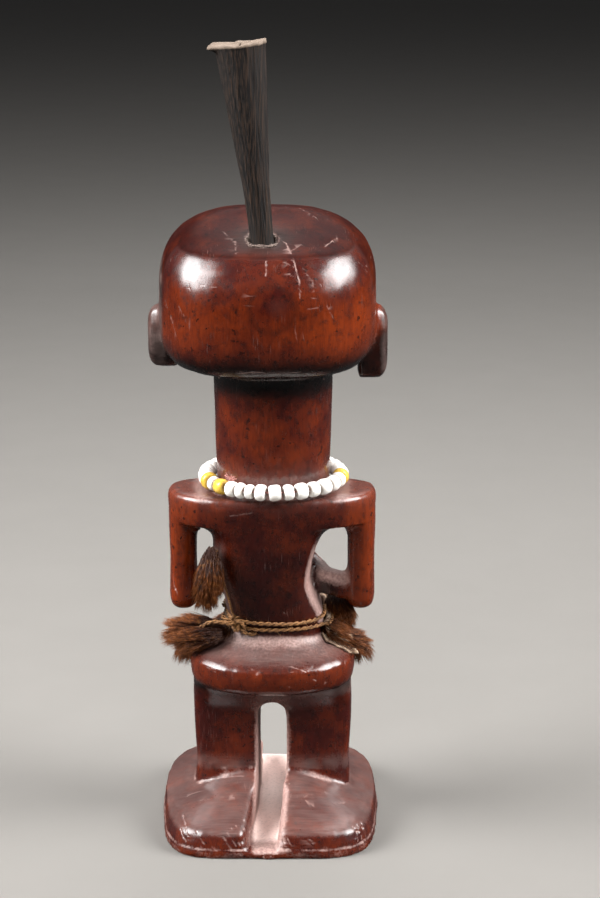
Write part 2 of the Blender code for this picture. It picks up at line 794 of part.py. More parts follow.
def ring_place(angle, radius, height):
    """Point on the ring round the neck; angle 0 is behind the neck, and it grows towards +X."""
    return NECK_SHIFT + Vector((radius * math.sin(angle), -radius * math.cos(angle), height))


def bead_mesh(angle, pitch, width):
    """Drawn-glass bead: a short barrel with a bore for the thread, spun round the thread's line."""
    half = width / 2
    end_half = half * BEAD_END_SHARE
    bore = THREAD_WIDTH / 2 + CLEARANCE * 1.2
    inner_share = (bead_ring_half - end_half) / bead_ring_half
    reach = (pitch * inner_share - CLEARANCE) / 2
    profile = ((bore, -reach), (end_half, -reach), (half, 0.0), (end_half, reach), (bore, reach))
    heading = Vector((math.cos(angle), math.sin(angle), 0.0))
    outward = Vector((math.sin(angle), -math.cos(angle), 0.0))
    centre = ring_place(angle, bead_ring_half, bead_level)
    shape = bmesh.new()
    corners = [shape.verts.new(centre + outward * radius + heading * along) for radius, along in profile]
    outline = [shape.edges.new(pair) for pair in zip(corners, corners[1:] + corners[:1])]
    bmesh.ops.spin(shape, geom=corners + outline, cent=centre, axis=heading,
                   angle=2.0 * math.pi, steps=7, use_merge=True)
    bmesh.ops.remove_doubles(shape, verts=shape.verts, dist=0.00001)
    return mesh_from(shape, "bead")


def tube(route, width, sides, name):
    """Round tube along a route."""
    sizes = [width] * len(route)
    return loft(route_rings(route, sizes, sizes, 2.0, sides), name)


def thread_mesh():
    """Thread through every bead, closed on itself."""
    shape = bmesh.new()
    centre = ring_place(0.0, bead_ring_half, bead_level)
    points = turned_ring(centre, AXIS_Y, AXIS_Z, THREAD_WIDTH / 2, THREAD_WIDTH / 2, 2.0, 4)
    corners = [shape.verts.new(point) for point in points]
    outline = [shape.edges.new(pair) for pair in zip(corners, corners[1:] + corners[:1])]
    middle = (NECK_SHIFT.x, NECK_SHIFT.y, bead_level)
    bmesh.ops.spin(shape, geom=corners + outline, cent=middle, axis=AXIS_Z,
                   angle=2.0 * math.pi, steps=24, use_merge=True)
    bmesh.ops.remove_doubles(shape, verts=shape.verts, dist=0.00001)
    return mesh_from(shape, "necklace_thread")


cord_low = waist + CORD_WIDTH * 0.5 + CLEARANCE * 2
cord_high = cord_low + CORD_TURN_SPACING
skin_top = cord_high + CORD_WIDTH * 0.5 + 1 * FINE
skin_bottom = skin_top - SKIN_DEPTH
KNOT_ANGLE = math.radians(228)
SKIN_START = math.radians(-24)
SKIN_END = math.radians(204)
SKIN_SLANT = math.radians(40)


def smooth_step(value):
    value = min(1.0, max(0.0, value))
    return value * value * (3.0 - 2.0 * value)


def over_skin(angle):
    """How far the cord has climbed over the skin at an angle: 0 on bare wood, 1 on the skin."""
    blend = math.radians(14)
    begun = smooth_step((angle - SKIN_START + blend) / blend)
    left = smooth_step((SKIN_END + blend - angle) / blend)
    return begun * left


def waist_place(angle, height, spare):
    """Point round the waist, a spare distance off the wood; angle 0 is at +X and 90 degrees in front."""
    left, right = torso_sides(height)
    back, front = torso_depths(height)
    across, along = oval_point(angle, torso_power(height))
    return sided_place(across, along, left + spare, right + spare, back + spare, front + spare, height)


def cord_spare(angle):
    """Distance of the cord's middle line from the wood."""
    on_wood = CORD_WIDTH / 2 + CLEARANCE * 2
    return on_wood + (SKIN_PINCH + SKIN_GAP) * over_skin(angle)


def cord_turns():
    """Two turns round the waist, the second above the first, both ending in the knot."""
    route = []
    steps = 40
    for step in range(steps + 1):
        share = step / steps
        angle = KNOT_ANGLE - 4.0 * math.pi * share
        plain = math.remainder(angle - math.radians(90), 2.0 * math.pi) + math.radians(90)
        height = cord_low + CORD_TURN_SPACING * smooth_step((share - 0.44) / 0.12)
        route.append(waist_place(angle, height, cord_spare(plain)))
    return route


def knot_place():
    return waist_place(KNOT_ANGLE, (cord_low + cord_high) / 2, CORD_WIDTH + CLEARANCE * 2)


def knot_mesh():
    """Lump of the knot behind the left hip."""
    centre = knot_place()
    shape = bmesh.new()
    bmesh.ops.create_icosphere(shape, subdivisions=2, radius=KNOT_WIDTH / 2)
    bmesh.ops.scale(shape, vec=(0.78, 0.42, 0.95), verts=shape.verts)
    bmesh.ops.translate(shape, vec=centre, verts=shape.verts)
    return mesh_from(shape, "knot")


def cord_end_route(sideways, downward, outward):
    """Loose end that leaves the knot and falls."""
    start = knot_place()
    route = []
    for step in range(6):
        share = step / 5
        back = -outward * math.sin(math.pi * share * 0.5)
        offset = Vector((sideways * share, back, -downward * share ** 1.6))
        route.append(start + offset)
    return route


def tuft_hanger_route():
    """Strand that climbs from the knot to the neck of the tuft."""
    start = knot_place()
    route = []
    for step in range(7):
        share = step / 6
        height = start.z + TUFT_HANGER_LENGTH * share
        left, _ = torso_sides(height)
        back, _ = torso_depths(height)
        x = -left * TUFT_SIDE
        y = -back * power_curve(TUFT_SIDE, torso_power(height)) - CORD_WIDTH / 2 - CLEARANCE * 3
        place = Vector((x, y, height))
        route.append(start.lerp(place, smooth_step(share * 2.2)) if share < 0.46 else place)
    return route


def skin_levels():
    """Heights down the skin and its thickness there: pinched under the cord, full over the hips."""
    rim = hip_bottom + HIP_HEIGHT * HIP_SECTIONS[4][0]
    widest = hip_bottom + HIP_HEIGHT * HIP_SECTIONS[3][0]
    pinch = SKIN_PINCH / SKIN_THICKNESS
    return (
        (skin_top, 0.75),
        (cord_high + CORD_WIDTH * 0.6, pinch),
        (cord_low - CORD_WIDTH * 0.6, pinch),
        (hip_bottom + HIP_HEIGHT * HIP_SECTIONS[5][0], 0.85),
        (rim, 1.0),
        (widest, 0.95),
        (skin_bottom, 0.55),
    )


def skin_mesh():
    """Strip of skin with its hair, round the front and both sides from the waist down over the hips."""
    count = 18
    rings = []
    for step in range(count + 1):
        inner = []
        outer = []
        for height, thick in skin_levels():
            slant = SKIN_SLANT * smooth_step((waist - height) / (waist - skin_bottom))
            first = SKIN_START + slant
            angle = first + (SKIN_END - slant - first) * step / count
            inner.append(skin_place(angle, height, SKIN_GAP))
            outer.append(skin_place(angle, height, SKIN_GAP + SKIN_THICKNESS * thick))
        rings.append(inner + outer[::-1])
    return loft(rings, "skin_strip")


def skin_place(angle, height, spare):
    """Point on the skin: it follows the waist, lies over the swell of the hips, then hangs straight."""
    level = max(height, waist - HIP_HEIGHT * 0.25)
    left, right = torso_sides(level)
    back, front = torso_depths(level)
    widest = hip_bottom + HIP_HEIGHT * HIP_SECTIONS[3][0]
    hip_half, hip_back, hip_front = hip_reaches(max(height, widest))
    if height < waist + CORD_WIDTH:
        left = max(left, hip_half)
        right = max(right, hip_half)
        front = max(front, hip_front)
        back = max(back, hip_back)
    across, along = oval_point(angle, 2.5)
    return sided_place(across, along, left + spare, right + spare, back + spare, front + spare, height)


def tuft_mesh():
    """Tuft of hair that hangs beside the torso from its own strand."""
    top = tuft_hanger_route()[-1]
    route = []
    sizes = []
    for step in range(7):
        share = step / 6
        drop = TUFT_LENGTH * share
        aside = CORD_WIDTH / 2 + TUFT_WIDTH / 2 + CLEARANCE + 1.2 * FINE * share
        lean = Vector((-aside, -0.4 * FINE, -drop))
        route.append(top + lean)
        sizes.append(TUFT_WIDTH * (0.45 + 0.55 * math.sin(math.pi * min(1.0, share + 0.18)) ** 0.7))
    depths = [size * 0.72 for size in sizes]
    return loft(route_rings(route, sizes, depths, 2.0, 8), "hair_tuft")


def build_figure(wood):
    """Join every form to the slab, then cut the gaps and the socket."""
    joined = new_group("joined_forms")
    cut = new_group("cut_forms")
    for make in (feet_mesh, legs_mesh, hips_mesh, torso_mesh, shoulders_mesh, neck_mesh, head_mesh,
                 navel_mesh, brow_mesh, nose_mesh, jaw_mesh):
        add_form(make(), joined)
    for side in (-1, 1):
        for make in (upper_arm_mesh, forearm_mesh, thumb_mesh, ear_mesh, eye_mesh, mouth_mesh):
            add_form(make(side), joined)
        for number in range(FINGER_COUNT):
            add_form(finger_mesh(side, number), joined)
        for number in range(1, TOE_COUNT):
            add_form(toe_groove_mesh(side, number), cut)
    add_form(leg_gap_mesh(), cut)
    add_form(socket_mesh(), cut)
    figure = add_piece(slab_mesh(), "figure", wood)
    for name, operation, group in (("join_forms", "UNION", joined), ("cut_forms", "DIFFERENCE", cut)):
        step = figure.modifiers.new(name, "BOOLEAN")
        step.operation = operation
        step.operand_type = "COLLECTION"
        step.collection = group
        step.solver = "EXACT"


def build_necklace(thread, white_glass, yellow_glass):
    finishes = {"white": white_glass, "yellow": yellow_glass}
    counts = {"white": 0, "yellow": 0}
    for colour, angle, pitch, width in bead_plan():
        counts[colour] += 1
        add_piece(bead_mesh(angle, pitch, width), f"bead_{colour}_{counts[colour]:02d}", finishes[colour])
    add_piece(thread_mesh(), "necklace_thread", thread)


def build_waist(fibre, hair):
    """Cord with its knot and loose ends as one piece, the skin strip and the tuft."""
    ends = new_group("cord_forms")
    add_form(knot_mesh(), ends)
    long_end = cord_end_route(-CORD_END_LENGTH, CORD_END_LENGTH * 0.25, 2.2 * FINE)
    short_end = cord_end_route(3.5 * FINE, CORD_END_LENGTH * 0.35, 3 * FINE)
    for route in (long_end, short_end, tuft_hanger_route()):
        add_form(tube(route, CORD_WIDTH, 5, "cord_end"), ends)
    cord = add_piece(tube(cord_turns(), CORD_WIDTH, 5, "waist_cord"), "waist_cord", fibre)
    step = cord.modifiers.new("tie", "BOOLEAN")
    step.operation = "UNION"
    step.operand_type = "COLLECTION"
    step.collection = ends
    step.solver = "EXACT"
    add_piece(skin_mesh(), "skin_strip", hair)
    add_piece(tuft_mesh(), "hair_tuft", hair)


def build():
    for old in list(bpy.data.objects):
        bpy.data.objects.remove(old)
    wood = finish("oiled_hardwood", (0.105, 0.030, 0.016, 1.0), 0.34)
    horn = finish("weathered_horn", (0.060, 0.040, 0.028, 1.0), 0.62)
    white_glass = finish("white_glass", (0.72, 0.68, 0.62, 1.0), 0.28)
    yellow_glass = finish("yellow_glass", (0.60, 0.30, 0.04, 1.0), 0.30)
    thread = finish("cotton_thread", (0.50, 0.22, 0.20, 1.0), 0.85)
    fibre = finish("plant_fibre", (0.36, 0.25, 0.15, 1.0), 0.80)
    hair = finish("animal_skin", (0.20, 0.10, 0.055, 1.0), 0.75)
    build_figure(wood)
    add_piece(horn_mesh(), "crown_horn", horn)
    build_necklace(thread, white_glass, yellow_glass)
    build_waist(fibre, hair)


build()
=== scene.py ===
"""Looks of a carved hardwood power figure with a crown horn, glass beads, a waist cord and animal skin.

Metres, +Z up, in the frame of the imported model. The figure faces +Y, and the photograph shows its back.
"""
import math
import random

import bmesh
import bpy
import numpy as np
from mathutils import Matrix, Vector, kdtree, noise
from mathutils.bvhtree import BVHTree


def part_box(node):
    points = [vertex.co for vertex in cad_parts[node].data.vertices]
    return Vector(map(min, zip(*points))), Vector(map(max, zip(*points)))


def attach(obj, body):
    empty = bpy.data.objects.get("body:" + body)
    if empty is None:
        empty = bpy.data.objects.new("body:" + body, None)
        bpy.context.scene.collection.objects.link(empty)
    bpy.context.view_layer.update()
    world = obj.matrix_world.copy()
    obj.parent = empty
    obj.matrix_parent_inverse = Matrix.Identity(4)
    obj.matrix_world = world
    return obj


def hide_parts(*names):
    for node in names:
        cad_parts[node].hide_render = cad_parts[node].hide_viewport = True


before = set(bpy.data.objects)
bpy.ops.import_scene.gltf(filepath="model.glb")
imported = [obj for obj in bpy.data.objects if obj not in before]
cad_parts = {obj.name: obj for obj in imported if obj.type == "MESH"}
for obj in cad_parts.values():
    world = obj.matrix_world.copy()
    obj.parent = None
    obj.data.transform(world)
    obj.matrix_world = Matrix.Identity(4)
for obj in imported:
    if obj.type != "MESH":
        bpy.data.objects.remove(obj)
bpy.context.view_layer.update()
scene = bpy.context.scene
chance = random.Random(41)

MM = 0.001
UP = Vector((0.0, 0.0, 1.0))

# The photograph's view: behind the figure and a little above it, in pixels of the 600 x 898 picture
PHOTO_WIDTH = 600
PHOTO_HEIGHT = 898
FOCAL_PIXELS = 2670
SENSOR = 36.0
EYE = Vector((0.0082, -0.756, 0.3187))
EYE_TILT = math.radians(15.1)

# Heights of the carving, read from the frame
FIGURE_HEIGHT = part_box("figure")[1].z
ankle = FIGURE_HEIGHT * 0.0861
hip_bottom = FIGURE_HEIGHT * 0.2448
waist = FIGURE_HEIGHT * 0.3282
shoulder_top = FIGURE_HEIGHT * 0.5595
head_bottom = FIGURE_HEIGHT * 0.7532
slab_top = FIGURE_HEIGHT * 0.0135
foot_rim = FIGURE_HEIGHT * 0.0414

# Wood colours: thick patina, thin patina and its darkest mottling
WOOD_DEEP = "350b06"
WOOD_WORN = "6e2708"
WOOD_DARK = "140403"

# Skin of the carving
VOXEL = 0.66 * MM
SKIN_FACES = 128000
CRISP_ANGLE = math.radians(34)
LOW_CRISP_ANGLE = math.radians(27)
FILLET_PASSES = 90
CRISP_REACH = 1.7 * MM
MARK_REACH = 1.1 * MM
ROUNDING_PASSES = 42
WORN_EDGE_PASSES = 3
HOLLOW_PASSES = 14
RIM_PASSES = 50

# Waist cord
CORD_WIDTH = 1.15 * MM
CORD_TWIST = 4.2 * MM
CORD_STEP = 0.5 * MM

# Skin strip and fur
HIDE_VOXEL = 0.45 * MM
HAIR_WIDTH = 0.17 * MM


def linear_colour(hex_colour):
    """sRGB hex to linear RGBA."""
    channels = []
    for place in (0, 2, 4):
        share = int(hex_colour[place:place + 2], 16) / 255.0
        channels.append(share / 12.92 if share <= 0.04045 else ((share + 0.055) / 1.055) ** 2.4)
    return (*channels, 1.0)


def ease(value):
    """0 below 0, 1 above 1 and smooth between."""
    value = np.clip(value, 0.0, 1.0)
    return value * value * (3.0 - 2.0 * value)


def sight_line(pixel):
    """Direction from the photograph's eye through a pixel (across, row)."""
    across, row = pixel
    ahead = Vector((0.0, math.cos(EYE_TILT), -math.sin(EYE_TILT)))
    upward = Vector((0.0, math.sin(EYE_TILT), math.cos(EYE_TILT)))
    line = ahead * FOCAL_PIXELS
    line += Vector((1.0, 0.0, 0.0)) * (across - PHOTO_WIDTH / 2)
    line += upward * (PHOTO_HEIGHT / 2 - row)
    return line.normalized()


def place_at(pixel, depth):
    """The place that a pixel shows on an upright plane at a depth."""
    line = sight_line(pixel)
    return EYE + line * ((depth - EYE.y) / line.y)


# Materials


def set_inputs(tree, node, inputs):
    """Link or set a node's inputs."""
    for socket, value in inputs.items():
        if isinstance(value, bpy.types.NodeSocket):
            tree.links.new(value, node.inputs[socket])
        else:
            node.inputs[socket].default_value = value


def add(tree, kind, inputs=None, output=0, **settings):
    """Add a shader node with its settings and links, and return one of its outputs."""
    node = tree.nodes.new("ShaderNode" + kind)
    for setting, value in settings.items():
        setattr(node, setting, value)
    set_inputs(tree, node, inputs or {})
    return node.outputs[output]


def begin_material(name):
    """Material with a Principled shader: returns it, its node tree, the shader and the piece's own place."""
    material = bpy.data.materials.new(name)
    material.use_nodes = True
    tree = material.node_tree
    return material, tree, tree.nodes["Principled BSDF"], add(tree, "TexCoord", {}, "Object")


def painted(tree, name):
    """Value that the mesh code has painted on the piece."""
    return add(tree, "Attribute", {}, "Fac", attribute_name=name)


def lumps(tree, place, size, detail, roughness=0.5, **placing):
    """Pattern whose lumps are of a size in mm, one number or one for each axis."""
    sizes = size if isinstance(size, tuple) else (size,) * 3
    scale = tuple(1 / (length * MM) for length in sizes)
    spot = add(tree, "Mapping", {"Vector": place, "Scale": scale, **placing})
    return add(tree, "TexNoise", {"Vector": spot, "Scale": 1.0, "Detail": detail, "Roughness": roughness})


def between(tree, value, start, end, low=0.0, high=1.0):
    """low where a value is at start, high where it is at end, and in proportion between."""
    limits = {"From Min": start, "From Max": end, "To Min": low, "To Max": high}
    return add(tree, "MapRange", {"Value": value, **limits})


def layered(tree, body, *layers):
    """The body colour with further colours laid over it, each by its own share."""
    for share, tint in layers:
        body, tint = (linear_colour(part) if isinstance(part, str) else part for part in (body, tint))
        body = add(tree, "Mix", {0: share, 6: body, 7: tint}, 2, data_type="RGBA")
    return body


def ring_stain(tree, place, surface):
    """Faint round stain low on the back of the head: how dark its ring is, and how pale its middle is."""
    gaps = []
    for pixel in (RING_STAIN, PALE_STAIN):
        middle = seen_place(surface, pixel)
        gaps.append(add(tree, "VectorMath", {0: place, 1: middle}, "Value", operation="DISTANCE"))
    rim = add(tree, "Math", {0: gaps[0], 1: -RING_STAIN_RADIUS}, operation="ADD")
    rim = add(tree, "Math", {0: rim}, operation="ABSOLUTE")
    rim = between(tree, rim, 0.2 * MM, 1.3 * MM, 0.34, 0.0)
    return rim, between(tree, gaps[1], 1.0 * MM, 3.6 * MM, 0.14, 0.0)


def handling_scratches(tree, place):
    """Fine strokes in patches, in three directions."""
    scratch = None
    for turn, across, along in ((0.6, 0.14, 5.0), (-0.9, 0.16, 7.0), (0.1, 0.13, 9.0)):
        stroke = lumps(tree, place, (across, 3, along), 1.0, 0.4, Rotation=(0.3, turn, turn * 0.5))
        line = between(tree, stroke, 0.71, 0.8)
        scratch = line if scratch is None else add(tree, "Math", {0: scratch, 1: line}, operation="MAXIMUM")
    patch = lumps(tree, place, 9, 2.0, Location=(0.7, 0.2, 0.4))
    patchy = between(tree, patch, 0.52, 0.68, 0.0, 0.4)
    return add(tree, "Math", {0: scratch, 1: patchy}, operation="MULTIPLY", use_clamp=True)


def oiled_hardwood(surface):
    """Dense carved hardwood under generations of oil, camwood and handling: deep red-brown, orange where
    worn thin, glossy on the swells, with pale earth in the hollows and fine pale scratches, painted
    shade under the head, hips and arms, and painted light in the pale trench between the feet."""
    material, tree, shader, place = begin_material("oiled_hardwood_patina")
    grain = lumps(tree, place, (0.4, 0.4, 4.5), 3.0, 0.6)
    cloud = lumps(tree, place, 8, 5.0, 0.6)
    mottle = lumps(tree, place, (1.9, 1.9, 2.4), 5.0, 0.68)
    speck = lumps(tree, place, 1.5, 1.0, 0.4)
    streak = lumps(tree, place, (7, 0.45, 0.7), 3.0, 0.6, Rotation=(0.0, 0.06, 0.14))
    powder = lumps(tree, place, 0.7, 3.0, 0.6)

    # Red-brown body, with orange wood where handling has thinned the patina, then soot and painted shade over
    # it
    worn_swing = between(tree, cloud, 0.3, 0.7, -0.34, 0.34)
    worn = painted(tree, "worn")
    worn_here = add(tree, "Math", {0: worn, 1: worn_swing}, operation="ADD", use_clamp=True)
    # Soot on the ears and round the horn, and painted shade under the head, hips and arms, mottled a little
    soot_and_shade_swing = between(tree, mottle, 0.3, 0.7, 0.85, 1.1)
    soot_and_shade = painted(tree, "soot_and_shade")
    soot_and_shade_here = add(tree, "Math", {0: soot_and_shade, 1: soot_and_shade_swing}, operation="MULTIPLY", use_clamp=True)
    rim, pale = ring_stain(tree, place, surface)
    body = layered(
        tree, WOOD_DEEP,
        (worn_here, WOOD_WORN),
        (between(tree, mottle, 0.5, 0.72, 0.0, 0.7), WOOD_DARK),
        (between(tree, grain, 0.42, 0.68, 0.0, 0.35), WOOD_DARK),
        (between(tree, speck, 0.68, 0.75, 0.0, 0.75), "180604"),
        (rim, "1e0b07"),
        (pale, "6d3c30"),
        # Near black for the soot and the painted shade
        (soot_and_shade_here, "0b0403"),
    )

    # A thin grey film of dust on what faces up, in the streaks of the chisel
    film_swing = between(tree, streak, 0.34, 0.66, 0.6, 1.15)
    film = painted(tree, "film")
    film_here = add(tree, "Math", {0: film, 1: film_swing}, operation="MULTIPLY", use_clamp=True)

    # Pale earth and old camwood powder that stays in the hollows; in the trench between the feet it is
    # painted near white, which is also painted light over the feet's shade
    dust = painted(tree, "dust")
    powder_swing = between(tree, powder, 0.3, 0.7, -0.2, 0.2)
    dust_level = add(tree, "Math", {0: dust, 1: powder_swing}, operation="ADD")
    dust_gate = between(tree, dust, 0.02, 0.25)
    dust_here = add(tree, "Math", {0: dust_level, 1: dust_gate}, operation="MULTIPLY", use_clamp=True)
    earth = layered(tree, "9c7870", (powder, "c9aaa1"), (painted(tree, "groove_earth_and_light"), "f2d8cf"))

    # Scratches: fine ones from handling, and those that the photograph shows
    fine_marks = handling_scratches(tree, place)
    marks = add(tree, "Math", {0: fine_marks, 1: painted(tree, "marks")}, operation="MAXIMUM")
    pale_marks = add(tree, "Math", {0: marks, 1: 0.7}, operation="MULTIPLY")
    body = layered(tree, body, (film_here, "75605b"), (dust_here, earth), (pale_marks, "b4958d"))

    # Oil polish: glossy on the swells, dull on the crown and where earth or dust lies
    dull = painted(tree, "dull")
    rough = between(tree, mottle, 0.3, 0.7, 0.20, 0.30)
    for share, roughness in ((film_here, 0.5), (dust_here, 0.85), (dull, 0.45)):
        rough = add(tree, "Mix", {0: share, 2: rough, 3: roughness}, 0, data_type="FLOAT")
    gloss = between(tree, dull, 0.0, 1.0, 0.72, 0.05)

    # Grain, scratches, mottling and chisel streaks that can be felt
    height = add(tree, "Math", {0: grain, 1: -0.35}, operation="MULTIPLY")
    streaked = add(tree, "Math", {0: streak, 1: film_here}, operation="MULTIPLY")
    for pattern, depth in ((marks, -0.45), (mottle, 0.6), (streaked, 0.7)):
        height = add(tree, "Math", {0: pattern, 1: depth, 2: height}, operation="MULTIPLY_ADD")
    bump = add(tree, "Bump", {"Height": height, "Strength": 0.3, "Distance": 0.12 * MM})
    set_inputs(tree, shader, {"Base Color": body, "Roughness": rough, "IOR": 1.45,
                              "Specular IOR Level": gloss, "Normal": bump})
    return material


def weathered_horn():
    """Tip of an old horn that has dried out: dark brown, split into long fibres with paler ridges."""
    material, tree, shader, place = begin_material("weathered_horn")
    fibre = lumps(tree, place, (0.35, 0.35, 14), 4.0, 0.65, Rotation=(0.0, 0.107, 0.0))
    stain = lumps(tree, place, (4, 4, 9), 3.0)
    light = between(tree, fibre, 0.46, 0.66)
    crest = add(tree, "Math", {0: painted(tree, "ridge"), 1: light}, operation="MULTIPLY")
    crest = add(tree, "Math", {0: crest, 1: 0.55}, operation="MULTIPLY")
    colour = layered(
        tree, "080504",
        (light, "241811"),
        (between(tree, stain, 0.4, 0.62, 0.0, 0.75), "0e0907"),
        (crest, "4d3828"),
        (painted(tree, "dust"), "857466"),
    )
    rough = between(tree, fibre, 0.3, 0.7, 0.55, 0.8)
    bump = add(tree, "Bump", {"Height": fibre, "Strength": 0.8, "Distance": 0.25 * MM})
    set_inputs(tree, shader, {"Base Color": colour, "Roughness": rough, "Specular IOR Level": 0.3,
                              "Normal": bump})
    return material


def wound_glass(name, pale_colour, deep_colour, grime_colour):
    """Opaque glass wound by hand: glossy, a little uneven, with grime at the holes."""
    material, tree, shader, place = begin_material(name)
    swirl = lumps(tree, place, 1.3, 3.0)
    dirt = add(tree, "Math", {0: painted(tree, "dust"), 1: 0.8}, operation="MULTIPLY", use_clamp=True)
    colour = layered(tree, pale_colour, (between(tree, swirl, 0.35, 0.7), deep_colour), (dirt, grime_colour))
    rough = between(tree, swirl, 0.3, 0.7, 0.16, 0.34)
    bump = add(tree, "Bump", {"Height": swirl, "Strength": 0.25, "Distance": 0.1 * MM})
    set_inputs(tree, shader, {"Base Color": colour, "Roughness": rough, "IOR": 1.52, "Normal": bump,
                              "Subsurface Weight": 0.12, "Subsurface Radius": (1.0, 0.9, 0.8),
                              "Subsurface Scale": 0.6 * MM})
    return material


def plant_fibre():
    """Twisted bast cord: tan fibres, darkened by dirt and oil between the strands."""
    material, tree, shader, place = begin_material("twisted_plant_fibre")
    fine = lumps(tree, place, 0.3, 4.0, 0.7)
    wide = lumps(tree, place, 3.5, 2.0)
    colour = layered(tree, "432812", (between(tree, fine, 0.35, 0.68), "ad7b49"),
                     (between(tree, wide, 0.42, 0.65, 0.0, 0.5), "3a2112"))
    bump = add(tree, "Bump", {"Height": fine, "Strength": 0.9, "Distance": 0.15 * MM})
    set_inputs(tree, shader, {"Base Color": colour, "Roughness": 0.72, "Normal": bump})
    return material


def cotton_thread():
    """Soft spun cotton, faded to a dusty pink."""
    material, tree, shader, place = begin_material("faded_cotton_thread")
    spun = lumps(tree, place, 0.25, 3.0)
    colour = layered(tree, "a86058", (spun, "d9a096"))
    bump = add(tree, "Bump", {"Height": spun, "Strength": 0.6, "Distance": 0.1 * MM})
    set_inputs(tree, shader, {"Base Color": colour, "Roughness": 0.9, "Sheen Weight": 0.3, "Normal": bump})
    return material


def raw_hide():
    """Dried flesh side of the skin: stiff, creased and pale buff, dirty brown in its folds."""
    material, tree, shader, place = begin_material("dried_raw_hide")
    crease = lumps(tree, place, 1.6, 5.0, 0.65)
    colour = layered(tree, "4a3020", (between(tree, crease, 0.36, 0.66), "b39a82"))
    rough = between(tree, crease, 0.0, 1.0, 0.55, 0.85)
    bump = add(tree, "Bump", {"Height": crease, "Strength": 0.7, "Distance": 0.3 * MM})
    set_inputs(tree, shader, {"Base Color": colour, "Roughness": rough, "Normal": bump})
    return material


def coarse_fur():
    """Coarse brown hair, dark at the roots and tawny at the tips, with a dull sheen."""
    material, tree, shader, place = begin_material("coarse_brown_fur")
    lock = lumps(tree, place, 1.4, 3.0)
    tip = add(tree, "Math", {0: painted(tree, "along"), 1: lock}, operation="MULTIPLY")
    colour = layered(tree, "2e1205", (between(tree, tip, 0.12, 0.5), "7e451a"),
                     (between(tree, lock, 0.58, 0.7, 0.0, 0.45), "8a5d31"))
    set_inputs(tree, shader, {"Base Color": colour, "Roughness": 0.5, "Specular IOR Level": 0.3})
    return material


def dried_earth():
    """Crumbly earth packed round the horn: grey-buff, dull and grainy."""
    material, tree, shader, place = begin_material("dried_packed_earth")
    grain = lumps(tree, place, 0.5, 4.0, 0.7)
    colour = layered(tree, "24120e", (between(tree, grain, 0.38, 0.64), "7d6c63"))
    bump = add(tree, "Bump", {"Height": grain, "Strength": 0.8, "Distance": 0.25 * MM})
    set_inputs(tree, shader, {"Base Color": colour, "Roughness": 0.9, "Normal": bump})
    return material


def studio_floor():
    """Matt painted board: pale warm grey with a faint tooth."""
    material, tree, shader, place = begin_material("matt_studio_board")
    tooth = add(tree, "TexNoise", {"Vector": place, "Scale": 40.0, "Detail": 3.0})
    colour = layered(tree, "6b6864", (tooth, "6f6c68"))
    set_inputs(tree, shader, {"Base Color": colour, "Roughness": 0.9})
    return material


def black_velvet():
    """Black cloth that throws no light back."""
    material, tree, shader, place = begin_material("black_velvet_flag")
    set_inputs(tree, shader, {"Base Color": linear_colour("0a0a0a"), "Roughness": 1.0})
    return material


# Mesh helpers


def node_shape(node):
    """bmesh of a CAD node with its loose triangles joined."""
    shape = bmesh.new()
    shape.from_mesh(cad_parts[node].data)
    bmesh.ops.remove_doubles(shape, verts=shape.verts, dist=0.004 * MM)
    return shape


def mesh_of(shape, name):
    """Mesh made from a bmesh, which is then freed."""
    mesh = bpy.data.meshes.new(name)
    shape.to_mesh(mesh)
    shape.free()
    return mesh


def add_piece(mesh, name, finish, replaced=()):
    """A finished piece of the object, which rides on the one body."""
    piece = bpy.data.objects.new(name, mesh)
    scene.collection.objects.link(piece)
    mesh.materials.clear()
    mesh.materials.append(finish)
    mesh.shade_smooth()
    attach(piece, "root")
    if replaced:
        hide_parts(*replaced)
    return piece


def settled_mesh(piece):
    """The piece's mesh with its modifiers worked in."""
    depsgraph = bpy.context.evaluated_depsgraph_get()
    return bpy.data.meshes.new_from_object(piece.evaluated_get(depsgraph))


def reworked_mesh(mesh, kind, **settings):
    """The mesh after one modifier of a kind, with its settings."""
    blank = bpy.data.objects.new("blank", mesh)
    scene.collection.objects.link(blank)
    modifier = blank.modifiers.new(kind.lower(), kind)
    for setting, value in settings.items():
        setattr(modifier, setting, value)
    result = settled_mesh(blank)
    bpy.data.objects.remove(blank)
    return result


def tree_of(places):
    """Search tree of places."""
    tree = kdtree.KDTree(len(places))
    for index, place in enumerate(places):
        tree.insert(place, index)
    tree.balance()
    return tree


def points_of(mesh):
    """Places of the mesh's points, one row each."""
    points = np.empty(len(mesh.vertices) * 3)
    mesh.vertices.foreach_get("co", points)
    return points.reshape(-1, 3)


def normals_of(mesh):
    """Outward direction at each of the mesh's points."""
    normals = np.empty(len(mesh.vertices) * 3)
    mesh.vertices.foreach_get("normal", normals)
    return normals.reshape(-1, 3)


def put_points(mesh, points):
    """Move the mesh's points to these places."""
    mesh.vertices.foreach_set("co", points.reshape(-1))
    mesh.update()


def paint(mesh, name, values):
    """Store one value for each point, for the material to read."""
    layer = mesh.attributes.new(name, "FLOAT", "POINT")
    layer.data.foreach_set("value", np.ascontiguousarray(np.clip(values, 0.0, 1.0), dtype=np.float32))


def eased_points(mesh, points, passes):
    """Points after each has moved halfway to the middle of its neighbours, again and again."""
    ends = np.empty(len(mesh.edges) * 2, dtype=np.int64)
    mesh.edges.foreach_get("vertices", ends)
    first, second = ends.reshape(-1, 2).T
    here = np.concatenate((first, second))
    there = np.concatenate((second, first))
    share = 1.0 / np.bincount(here, minlength=len(points))
    points = points.copy()
    for _ in range(passes):
        for axis in range(3):
            total = np.bincount(here, weights=points[there, axis], minlength=len(points))
            points[:, axis] = 0.5 * points[:, axis] + 0.5 * total * share
    return points


